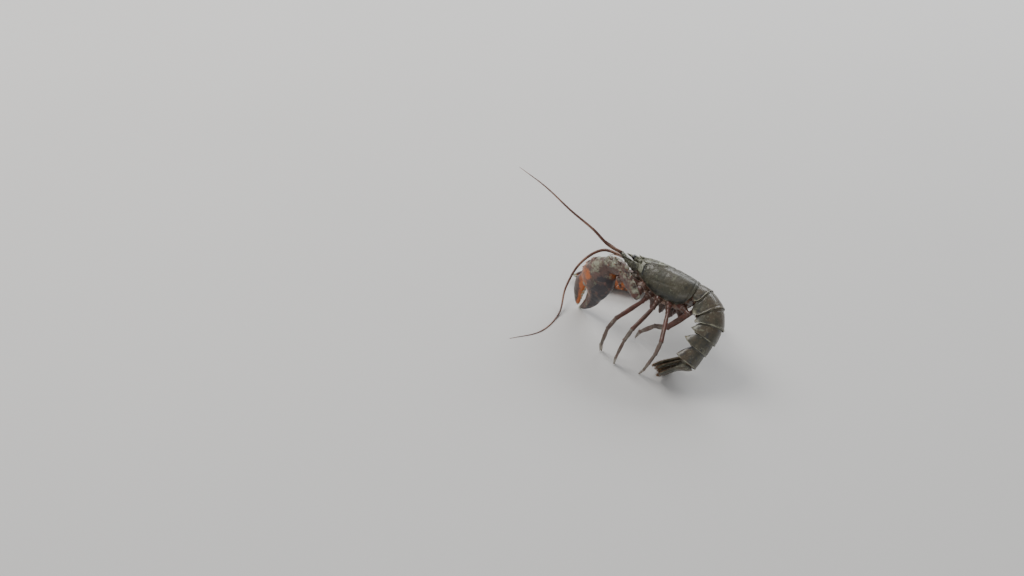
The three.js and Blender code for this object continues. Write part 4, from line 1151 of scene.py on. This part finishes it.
def antennule_parts(y):
    """A small feeler: three joints and two short whips."""
    root = at(-1, y * 4.2, 3)
    end = at(-17, y * 6, 4)
    joints = [root + vec(-2, 0, 0), mix(root, end, 0.5), mix(root, end, 0.76), end]
    sizes = ((2.3, 2.5, 2.1, 0.95), (1.85, 2.0, 1.8, 1.0), (1.6, 1.75, 1.5, 1.0))
    parts = [segment(*joints[k:k + 2], UP, *size, pale=0.3) for k, size in enumerate(sizes)]
    for s, left, lift in ((-52, 14, 12), (-46, 10, 1)):
        tip = at(s, y * left, lift)
        middle = mix(end, tip, 0.5) + vec(0, y * -1.5, 1.5)
        parts.append(whip([mix(root, end, 0.9), middle, tip], 0.7, 0.22, 0.8, 8))
    return parts


def maxilliped_parts(y):
    """A large mouth leg with its row of teeth, and the edges that carry hair."""
    points = [at(15, y * 6.5, -20.5), at(-3, y * 7, -19.5), at(-10, y * 6.5, -16.5), at(-16, y * 5.5, -19),
              at(-18, y * 4.8, -24)]
    out = vec(0, y, 0)
    sizes = ((4.1, 4.6, 3.7, 0.62), (3.2, 3.6, 2.8, 0.64), (2.4, 2.7, 2.1, 0.7), (1.7, 1.6, 0.5, 0.85))
    parts = [segment(*points[k:k + 2], out, *size, sides=30, pale=0.25) for k, size in enumerate(sizes)]
    for place in np.linspace(0.15, 0.9, 10):
        root = mix(points[0], points[1], place) + vec(0, -y * 2.2, 1.6)
        parts.append(spine(root, vec(0.2, -y, 0.5), 0.5, 1.3, sides=7, rows=5))
    return parts, [(*points[k:k + 2], out, [[0, 3.2, 1], [1, 2.6, 1]]) for k in (0, 1, 2)]


# Legs

# Each leg: distance behind the orbit, foot on the floor, and the ways of its knee, arch and hip
LEGS = {
    "left": [
        (36, (-62, -64), (-0.5, -0.6, 0.75), (-0.5, -0.6, 0.75), (0.1, 0.55, -0.8)),
        (47, (-42, -82), (-0.2, -0.6, 0.8), (-0.2, -0.6, 0.8), (-0.1, 0.5, -0.84)),
        (59, (-9, -90), (0.35, -0.5, 0.8), (0.35, -0.5, 0.8), (-0.4, 0.5, -0.8)),
        (71, (-24, -26), (0.5, -0.8, 0.1), (-0.5, 0.1, 0.8), (-0.9, 0.45, -0.4)),
    ],
    "right": [
        (35, (22, 62), (0, 0.5, 0.9), (0, 0.5, 0.9), (0, 0.8, -0.6)),
        (47, (40, 58), (0.1, 0.5, 0.9), (0.1, 0.5, 0.9), (-0.05, 0.8, -0.6)),
        (59, (58, 48), (0.2, 0.5, 0.9), (0.2, 0.5, 0.9), (-0.15, 0.8, -0.6)),
        (71, (74, 32), (0.4, 0.5, 0.8), (0.4, 0.5, 0.8), (-0.3, 0.8, -0.6)),
    ],
}
PINCER_LEGS = 2
# Lengths of a leg's joints, and how far its lower half is drawn out straight
HIP, MERUS, CARPUS, PROPODUS, DACTYL = 26, 40, 17, 32, 15
LEG_STRETCH = 0.95


def knee_place(root, foot, upper, lower, towards):
    """Where the knee of a two-length limb comes, towards a given way."""
    line = foot - root
    distance = min(np.linalg.norm(line), (upper + lower) * 0.995)
    way = unit(line)
    reach = (upper ** 2 - lower ** 2 + distance ** 2) / (2 * distance)
    off = unit(towards - way * (towards @ way))
    return root + way * reach + off * math.sqrt(max(upper ** 2 - reach ** 2, 0))


def leg_points(which, k):
    """The joints of a leg, from the body to the tip on the floor."""
    root, foot, knee_way, arch_way, hip = LEGS[which][k]
    y = SIDES[which]
    start = at(root, y * 5, -18)
    hip_end = start + unit(vec(hip[0], hip[1] * y, hip[2])) * HIP
    toe = world(*foot, -0.7)
    lower = CARPUS + PROPODUS + DACTYL
    bend = knee_place(hip_end, toe, MERUS, lower * LEG_STRETCH, world_way(*knee_way))
    down = unit(toe - bend)
    arch = world_way(*arch_way)
    bulge = unit(arch - down * (arch @ down))
    bow = lower * math.sqrt(LEG_STRETCH * (1 - LEG_STRETCH) / 3.3)
    wrist = mix(bend, toe, CARPUS / lower) + bulge * bow
    ankle = mix(bend, toe, (CARPUS + PROPODUS) / lower) + bulge * bow * 0.8
    return start, hip_end, bend, wrist, ankle, toe


def condyles(place, flat, reach, size, **values):
    """The two small knobs on which a joint turns."""
    side = unit(np.cross(flat, vec(0.31, 0.52, 0.79)))
    ways = (side, np.cross(flat, side), flat)
    radii = (size, size, size * 0.55)
    return [ball(place + flat * reach * y, radii, ways, 16, 9, **values) for y in (1, -1)]


def leg_parts(which, k):
    """The upper and lower half of a walking leg, and the edge that carries hair."""
    start, hip_end, bend, wrist, ankle, toe = leg_points(which, k)
    flat = unit(np.cross(bend - hip_end, wrist - bend))
    coxa = mix(start, hip_end, 0.52)
    basis = mix(start, hip_end, 0.74)
    upper = [
        segment(start, coxa, flat, 4.9, 5.7, 5.0, 0.96, 1.05, 0.8, sides=32, pale=0.2),
        segment(coxa, basis, flat, 4.0, 4.4, 3.9, 0.86, 1.06, 0.8, sides=30, warm=0.2),
        segment(basis, hip_end, flat, 3.4, 3.7, 3.3, 0.78, 1.06, 0.8, sides=30),
        segment(hip_end, bend, flat, 3.3, 4.05, 3.7, 0.7, 1.08, 0.75, sides=34, rows=36),
        *condyles(hip_end, flat, 2.6, 1.1, pale=0.26),
    ]
    tip = [[-0.06, 1.5, 1.2], [0.02, 2.1, 1.6], [0.2, 2.0, 1.5], [0.6, 1.5, 1.15], [0.85, 0.95, 0.8],
           [1, 0.62, 0.55]]
    lower = [
        segment(bend, wrist, flat, 3.2, 3.6, 3.2, 0.74, 1.08, 0.72, sides=32),
        segment(wrist, ankle, flat, 2.8, 3.15, 2.5, 0.68, 1.1, 0.7, sides=30, pale=0.25),
        *condyles(bend, flat, 2.6, 1.2, pale=0.26),
        *condyles(wrist, flat, 2.2, 1.0, pale=0.3),
        limb(ankle, toe, flat, tip, sides=24, pale=0.55, lump=0.08),
        *condyles(ankle, flat, 1.5, 0.8, pale=0.3),
    ]
    if k < PINCER_LEGS:
        across = unit(np.cross(flat, toe - ankle))
        nip = [[-0.1, 1.4, 1.1], [0.1, 1.8, 1.45], [0.5, 1.35, 1.05], [0.85, 0.7, 0.6], [1, 0.3, 0.3]]
        near = mix(ankle, toe, -0.15) - across * 0.8
        lower.append(limb(near, mix(ankle, toe, 0.86) - across * 2.6, flat, nip, sides=22, pale=0.55))
    else:
        way = flat * 0.4 + unit(toe - ankle)
        for place in (0.35, 0.6):
            root = mix(ankle, toe, place) + flat * 1.2
            lower.append(spine(root, way, 0.3, 1.2, sides=6, rows=4, pale=0.3))
    hair = [[0, 2.4, 1], [0.5, 2.0, 1], [1, 1.1, 1]]
    return upper, lower, [(mix(ankle, toe, -0.35), mix(ankle, toe, 0.8), flat, hair)]


# Claws

# Palm and moving finger: length, shift, half breadth and half thickness; teeth: length and size
CRUSHER = {
    "palm": [[-3, 2, 7, 7], [5, 2, 14, 10.5], [18, 1, 22.5, 14.5], [36, 0, 26, 15.5], [52, -1.5, 25, 14.5],
             [60, -7, 18.5, 13], [68, -11.5, 12.5, 11], [84, -12.5, 9.5, 8.5], [100, -10, 6.5, 6],
             [111, -5.5, 3, 3], [115, -3, 0.8, 0.8]],
    "finger": [[51, 14, 5, 7], [56, 15, 9, 9], [68, 16, 10, 9.5], [84, 13, 8.5, 7.5], [100, 7.5, 6, 5],
               [109, 3.5, 3.5, 3], [113, 1.5, 0.8, 0.8]],
    "teeth": [[66, 3.2], [74, 3.7], [82, 3.1], [89, 2.5], [96, 2], [102, 1.5]],
    "hinge": 8,
}
CUTTER = {
    "palm": [[-3, 2, 6.5, 6.5], [5, 2, 12, 9], [18, 1, 18, 12], [36, 0, 20.5, 13], [50, -1, 20, 12],
             [58, -5.5, 14.5, 10.5], [66, -9, 9.5, 8.5], [84, -9.5, 7, 6.5], [102, -7.5, 4.8, 4.5],
             [113, -3.5, 2.4, 2.4], [118, -1.5, 0.7, 0.7]],
    "finger": [[49, 11.5, 4, 6], [55, 12, 7, 7.5], [68, 12, 7.4, 7.5], [86, 9, 6, 6], [104, 4.5, 4, 4],
               [113, 1.8, 2.2, 2.2], [117, 0.8, 0.6, 0.6]],
    "teeth": [[64, 1.6], [70, 2.1], [76, 1.5], [82, 2.1], [88, 1.5], [94, 1.8], [100, 1.3], [106, 1.1]],
    "hinge": 6,
}
SHAPES = {"left": CRUSHER, "right": CUTTER}
# The joints of each claw's arm, from the body to the hand's tip, and the way its flat side faces
ARMS = {
    "left": [at(22, 12, -18), beside(-34, -33, -4), beside(-59, -13, 17), beside(-76, -5, 14),
             world(-114, 12, -12.5)],
    "right": [at(22, -12, -18), world(-15, 24, 44), world(-8, 62, 25), world(-22, 76, 13.6),
              world(-122, 64, 7)],
}
FACES = {"left": world_way(-0.46, -0.88, -0.14), "right": world_way(0.05, 0.05, 1)}
HAND_SIZE = 0.9


def hand_axes(which):
    """The ways along the hand, across it to the moving finger, and through it."""
    wrist, tip = ARMS[which][3:]
    along = unit(tip - wrist)
    across = unit(np.cross(FACES[which], along)) * -SIDES[which]
    return np.array([along, across, unit(np.cross(along, across))])


def hand_place(which, *measures):
    """A point of the hand by its measures along, across and through it."""
    pairs = zip(np.broadcast_arrays(*measures), hand_axes(which))
    return ARMS[which][3] + HAND_SIZE * spread(0, *pairs)


def hand_skin(which, stations, rows, sides):
    """The hand or moving finger: an egg section drawn to a blunt keel at its two edges."""
    u = np.linspace(stations[0][0], stations[-1][0], rows)[:, None]
    c = np.cos(around(sides))
    s = np.sin(around(sides))
    shift, half, thick = (smooth(stations, u, column) for column in (1, 2, 3))
    keel = 1 + 0.03 * bump(np.abs(c), 1, 0.12)
    grid = hand_place(which, u, shift + half * c * keel, thick * signed(s, 0.9))
    _, across, through = hand_axes(which)
    out = spread(0, (c, across), (s, through))
    swell = lumps(grid, 11.0) * 0.55 + lumps(grid, 4.0, 3.0) * 0.2
    grid = grid + swell[..., None] * out * np.clip(thick / 6, 0, 1)[..., None]
    share = (u - stations[0][0]) / (stations[-1][0] - stations[0][0])
    lower = step(-c, 0.55, 1.0)
    blotch = blotches(grid, 6.5, 8.0)
    cloud = blotches(grid, 13.0, 2.0, -0.05, 0.35)
    if stations is SHAPES[which]["finger"]:
        warm = 0.7 * step(-c, -0.3, 0.8) + 0.5 * cloud * (1 - step(u, 66, 90)) + 0.4 * step(u, 90, 112)
        pale = 0.24 * blotch
        dark = 0.5 * step(c, 0.0, 0.8) * step(u, 62, 84)
    elif stations is CRUSHER["palm"]:
        pale = (1 - step(u, 16, 40)) * step(c, -0.45, 0.4) * (0.42 + 0.16 * blotch)
        warm = 0.85 * step(c, -0.3, 0.45) * step(u, 16, 34) * (1 - step(u, 64, 84)) * (0.55 + 0.45 * cloud)
        warm = warm + 0.5 * lower * (1 - step(u, 16, 30)) + 0.35 * lower * step(u, 60, 90) * cloud
        # Dark lower side by the wrist: partly the claw's own dark colour, partly painted shade on its
        # underside.
        dark = 0.95 * step(-c, -0.25, 0.35) * step(u, 6, 22) * (0.5 + 0.5 * (1 - blotch))
    else:
        pale = (0.26 + 0.12 * blotch) * (1 - share)
        warm = 0.5 * step(c, 0.35, 0.95) * step(u, 5, 30) + 0.5 * lower * cloud
        dark = 0.5 * (1 - blotch) * cloud * np.abs(s)
    tip = 0.8 * step(u, stations[-1][0] - 9, stations[-1][0] - 2)
    zones = {name: np.clip(zone, 0, 1) for name, zone in (("pale", pale), ("warm", warm), ("dark", dark))}
    return tube(grid, tip=tip, along=share, **zones)


def hand_teeth(which, stations, inward):
    """Teeth along the inner edge of a finger: rounded knobs on the crusher, points on the cutter."""
    ways = hand_axes(which)
    point = ways[1] * inward + ways[0] * 0.15

    def edge(u, sunk):
        return pick(stations, u, 1) + inward * pick(stations, u, 2) - inward * sunk

    made = []
    for k, (u, tooth) in enumerate(SHAPES[which]["teeth"]):
        if inward < 0:
            u = u + tooth * 1.1
        if SHAPES[which] is CRUSHER:
            size = tooth * 0.95 * (0.9 if k % 2 else 1)
            centre = hand_place(which, u, edge(u, tooth * 0.5), 0)
            made.append(ball(centre, (size * 1.05, size, size * 1.15), ways, 24, 14, pale=0.8))
            for side in (1, -1):
                centre = hand_place(which, u + tooth * 0.7, edge(u, tooth * 0.4), side * tooth * 0.75)
                made.append(ball(centre, (size * 0.5,) * 3, ways, 14, 8, pale=0.8))
        else:
            root = hand_place(which, u, edge(u, 0.5), 0)
            made.append(spine(root, point, tooth * 0.8, tooth * 1.05, sides=14, pale=0.8))
            for beyond in (0.35 * 6, 0.7 * 6):
                root = hand_place(which, u + beyond, edge(u + beyond, 0.3), 0)
                made.append(spine(root, point, 0.5, 0.9, sides=8, rows=5, pale=0.8))
    return made


def palm_spines(which):
    """Blunt spines on the edge of the palm by the moving finger, and lower ones behind and between them."""
    palm = SHAPES[which]["palm"]
    along, across, _ = hand_axes(which)
    made = []
    for k, u in enumerate(np.linspace(11, 46, 6)):
        edge = pick(palm, u, 1) + pick(palm, u, 2)
        root = hand_place(which, u, edge - 0.9, 2.2 if k % 2 else -1.6)
        way = across + along * 0.75
        made.append(spine(root, way, 2.2 + 0.15 * k, 3.6 + 0.3 * k, along * 0.12, 16, 12, warm=0.7))
    for u in np.linspace(8, 50, 22):
        shift, half, thick = (pick(palm, u, column) for column in (1, 2, 3))
        for row in (-1, 0, 1):
            angle = row * 0.34 + rng.normal(0, 0.06)
            over = shift + (half - 0.1) * math.cos(angle)
            root = hand_place(which, u + rng.uniform(-0.8, 0.8), over, (thick - 0.1) * math.sin(angle))
            size = rng.uniform(0.5, 0.95)
            made.append(ball(root, (size * 1.2, size, size), sides=9, rows=5, tip=rng.uniform(0.1, 0.6)))
    return made


def hand_parts(which):
    """The hand with its fixed finger."""
    palm = SHAPES[which]["palm"]
    return [hand_skin(which, palm, 110, 84)] + hand_teeth(which, palm, 1) + palm_spines(which)


def finger_parts(which):
    """The moving finger with the balls of its hinge."""
    finger = SHAPES[which]["finger"]
    parts = [hand_skin(which, finger, 70, 56)] + hand_teeth(which, finger, -1)
    thick = pick(SHAPES[which]["palm"], 50, 3)
    for side in (1, -1):
        centre = hand_place(which, 54, SHAPES[which]["hinge"], side * (thick - 4.5))
        parts.append(ball(centre, (4.6, 4.4, 2.6), hand_axes(which), 24, 14, pale=0.4))
    return parts


def arm_length(start, end, face, inner, stations, spots, **values):
    """A knobbed and spined length of the claw's arm, palest on the side that faces the midline, partly as a
    painted highlight.
    """
    def relief(t, angle, grid):
        knobs = np.clip(lumps(grid, 2.3, 5.0) - 0.1, 0, 1) * step(np.cos(angle - inner), -0.4, 0.6) * 1.5
        edges = bump(np.abs(np.sin(angle - inner)), 1, 0.1)
        groove = -0.7 * edges * step(t, 0.1, 0.3) * (1 - step(t, 0.75, 0.95))
        return knobs + groove + (0.45 * bump(t, 0.97, 0.05) - 0.5 * bump(t, 0.87, 0.045))

    # Pale side: partly the shell's pale mottling, partly a painted highlight.
    def pale(t, angle, grid):
        return step(np.cos(angle - inner), -0.4, 0.7) * (0.40 + 0.12 * blotches(grid, 7.0, 3.0, -0.05))

    def dark(t, angle, grid):
        return 0.6 * step(-np.cos(angle - inner), -0.2, 0.7) * blotches(grid, 8.0, 6.0, -0.1)

    parts = [limb(start, end, face, stations, relief=relief, pale=pale, dark=dark, **values)]
    for t, turned_by, radius, length, spine_pale in spots:
        root, out = limb_point(start, end, face, stations, t, inner + turned_by, -0.2)
        way = out + unit(end - start) * 0.7
        parts.append(spine(root, way, radius, length, sides=14, pale=spine_pale, warm=0.45))
    return parts


def arm_parts(which):
    """Ischium, merus and carpus of the claw's arm."""
    body, elbow, wrist, hand, _ = ARMS[which]
    face = FACES[which]
    inner = 0 if which == "left" else math.pi
    coxa = mix(body, elbow, 0.42)
    first = [
        segment(body, coxa, face, 6.0, 6.8, 6.2, 0.92, 1.05, 0.8, sides=40, pale=0.35),
        segment(coxa, elbow, face, 6.0, 6.6, 6.1, 0.85, 1.06, 0.8, sides=40, warm=0.25),
        ball(elbow, (6.1, 6.1, 5.6), sides=28, rows=16, warm=0.25),
    ]
    stations = [[-0.12, 4.8, 4.3], [-0.02, 6.0, 5.1], [0.1, 6.9, 5.6], [0.6, 8.5, 6.5], [0.84, 8.9, 6.9],
                [0.92, 9.2, 7.2], [0.97, 9.0, 7.0], [1.0, 7.6, 6.0]]
    spots = [(t, angle, 1.6, 4.2, 0.35)
             for t, angle in ((0.82, 0), (0.55, -0.2), (0.3, 0), (0.84, 1.2), (0.68, 0.5))]
    merus = arm_length(elbow, wrist, face, inner, stations, spots, rows=60, sides=64, lump=0.35, warm=0.2)
    stations = [[-0.42, 6.4, 5.4], [-0.25, 8.0, 6.6], [0, 9.6, 8], [0.5, 11.5, 9.4], [0.9, 10.7, 9.1],
                [1.05, 10.2, 8.8], [1.2, 8.6, 7.4], [1.28, 6.8, 6]]
    sizes = ((0.05, 0.15, 1.0), (0.38, -0.1, 1.0), (0.72, 0.2, 1.0), (0.6, 1, 1.0), (0.25, 0.7, 0.6),
             (0.85, 0.7, 0.6))
    spots = [(t, angle, 2.1 * size, 4.8 * size, 0.4) for t, angle, size in sizes]
    carpus = arm_length(wrist, hand, face, inner, stations, spots, rows=70, sides=80, lump=0.5,
                        square=0.88, warm=0.15)
    for side in (1, -1):
        carpus.append(ball(hand + face * side * 6.4, (2.2, 2.2, 2.2), sides=18, rows=10, pale=0.5))
        merus.append(ball(wrist + face * side * 6.0, (2.0, 2.0, 2.0), sides=18, rows=10, pale=0.5))
    return first, merus, carpus


# The scene


def set_camera():
    """The photograph's view: how far, how high and from where it looks at the middle of the carapace."""
    focal_px = 1100.0
    width_px = 1024.0
    look = (666.0, 281.5)
    middle_px = (512.0, 288.0)
    distance = 1.430
    azimuth = math.radians(-10.326)
    pitch = math.radians(41.5)
    roll = math.radians(5.5)
    target = to_metres(pivot)
    ahead = vec(math.sin(azimuth) * math.cos(pitch), math.cos(azimuth) * math.cos(pitch), -math.sin(pitch))
    level_up = unit(UP - ahead * -math.sin(pitch))
    level_right = np.cross(ahead, level_up)
    right = math.cos(roll) * level_right + math.sin(roll) * level_up
    up = math.cos(roll) * level_up - math.sin(roll) * level_right
    aside = look[0] - middle_px[0]
    below = look[1] - middle_px[1]
    ray = unit(ahead + right * aside / focal_px - up * below / focal_px)
    place = target - distance * ray
    data = bpy.data.cameras.new("camera")
    data.sensor_width = 36.0
    data.lens = 36.0 * focal_px / width_px
    data.clip_start = 0.01
    stand = Matrix(np.stack([right, up, -ahead], 1).tolist()).to_4x4()
    stand.translation = Vector(place)
    made = add("camera", data)
    made.matrix_world = stand
    bpy.context.scene.camera = made


def area_light(name, place, size, watts, colour=(1, 1, 1)):
    """A soft light that looks at the animal."""
    data = bpy.data.lights.new(name, "AREA")
    data.shape = "RECTANGLE"
    data.size, data.size_y = size
    data.energy = watts
    data.color = colour
    made = add(name, data)
    made.location = place
    made.rotation_mode = "QUATERNION"
    made.rotation_quaternion = (Vector((0, 0, 0.07)) - Vector(place)).to_track_quat("-Z", "Y")
    made.visible_camera = False


def set_studio():
    """A wide pale floor, an even sky and three soft lights."""
    reach = 40.0
    corners = [(-reach, -reach, 0), (reach, -reach, 0), (reach, reach, 0), (-reach, reach, 0)]
    mesh = bpy.data.meshes.new("floor")
    mesh.from_pydata(corners, [], [(0, 1, 2, 3)])
    p = Paint("floor_paint")
    grey = p.blend(p.noise(400, 2, 0.5), (0.70, 0.69, 0.67), (0.74, 0.73, 0.71))
    mesh.materials.append(p.finish(grey, 0.75))
    add("floor", mesh)
    sky = bpy.data.worlds.new("studio")
    sky.use_nodes = True
    background = sky.node_tree.nodes["Background"]
    background.inputs["Color"].default_value = (0.84, 0.85, 0.88, 1)
    background.inputs["Strength"].default_value = 0.44
    bpy.context.scene.world = sky
    area_light("key", (-1.87, 0.77, 2.23), (1.55, 1.55), 55, (1.0, 0.98, 0.95))
    area_light("back", (0.55, 2.45, 1.70), (3.2, 1.1), 62, (0.96, 0.98, 1.0))
    area_light("fill", (0.44, -3.3, 1.0), (3.5, 1.3), 22)


def build_middle():
    """The pieces on the midline, and the edges of the tail that carry hair."""
    piece("carapace_plate", [carapace_parts(), *rostrum_parts(), *carapace_spines(), *granules(420)],
          "carapace", ["carapace"])
    piece("body_wall", underbody_parts(), "under")
    piece("breast_plate", sternum_parts(), "under", ["sternum"])
    piece("face_plate", face_parts(), "carapace")
    piece("tail_flesh", tail_flesh_parts(), "under")
    for k in range(len(SOMITES)):
        piece(f"tail_ring_{k + 1}", tergite_parts(k), "tail", [f"somite_{k + 1}"])
        if k < LAST_RING:
            paddles, edges = swimmeret_parts(k)
            piece(f"swimmerets_{k + 1}", paddles, "under")
            hairy["swimmerets"] += edges
    blade, edge = telson_parts()
    piece("telson_blade", blade, "tail", ["telson"], floor=True)
    hairy["fan"].append(edge)


def build_side(which):
    """The pieces of one side."""
    y = SIDES[which]

    def paired(name, parts, paint, slot, *nodes, floor=False):
        piece(f"{name}_{which}", parts, paint, [f"{node}_{which}" for node in nodes], floor)

    for name in SIDE_BLADES:
        blade, edge = uropod_parts(y, name)
        paired(f"fan_{name}", blade, "tail", "tail_shell", f"uropod_{name}", floor=True)
        hairy["fan"].append(edge)
    paired("cornea", eye_parts(y), "eye", "eye", "eye")
    paired("stalk", stalk_parts(y), "carapace", "shell", "eyestalk")
    paired("feeler_small", antennule_parts(y), "feeler", "feeler", "antennule")
    paired("feeler_root", antenna_base_parts(y), "carapace", "limb_shell", "antenna_base")
    paired("feeler_whip", [whip(flagellum_points(y), 2.0, 0.26, 0.62, 12)], "feeler", "feeler",
           "flagellum_near", "flagellum_far", floor=True)
    mouth, edges = maxilliped_parts(y)
    hairy["mouth"] += edges
    paired("jaw_leg", mouth, "limb", "limb_shell", "maxilliped")
    paired("jaws", mouth_parts(y), "shin", "limb_shell")
    first, merus, carpus = arm_parts(which)
    paired("arm_first", first, "limb", "limb_shell", "claw_ischium")
    paired("arm_upper", merus, "claw", "claw_shell", "claw_merus")
    paired("arm_wrist", carpus, "claw", "claw_shell", "claw_carpus")
    paired("hand", hand_parts(which), "claw", "claw_shell", "claw_hand", floor=True)
    paired("finger", finger_parts(which), "claw", "claw_shell", "claw_finger", floor=True)
    for k in range(len(LEGS[which])):
        leg = f"leg_{k + 1}"
        upper, lower, edges = leg_parts(which, k)
        paired(f"{leg}_thigh", upper, "limb", "limb_shell", f"{leg}_upper")
        paired(f"{leg}_shin", lower, "shin", "limb_shell", f"{leg}_lower", floor=True)
        hairy["legs"] += edges


set_camera()
paints = {**shell_paints(), "feeler": feeler_paint(), "eye": eye_paint(), "under": under_paint(),
          "hair": hair_paint()}
hairy = {"fan": [], "swimmerets": [], "legs": [], "mouth": []}
build_middle()
for which in SIDES:
    build_side(which)
fringe("fan", 4.6, 900, 0.35, 0.25)
fringe("swimmerets", 2.6, 130, 0.2, 0.5)
fringe("legs", 1.9, 110, 0.0, 0.8)
fringe("mouth", 2.2, 120, 0.0, 0.8)

set_studio()
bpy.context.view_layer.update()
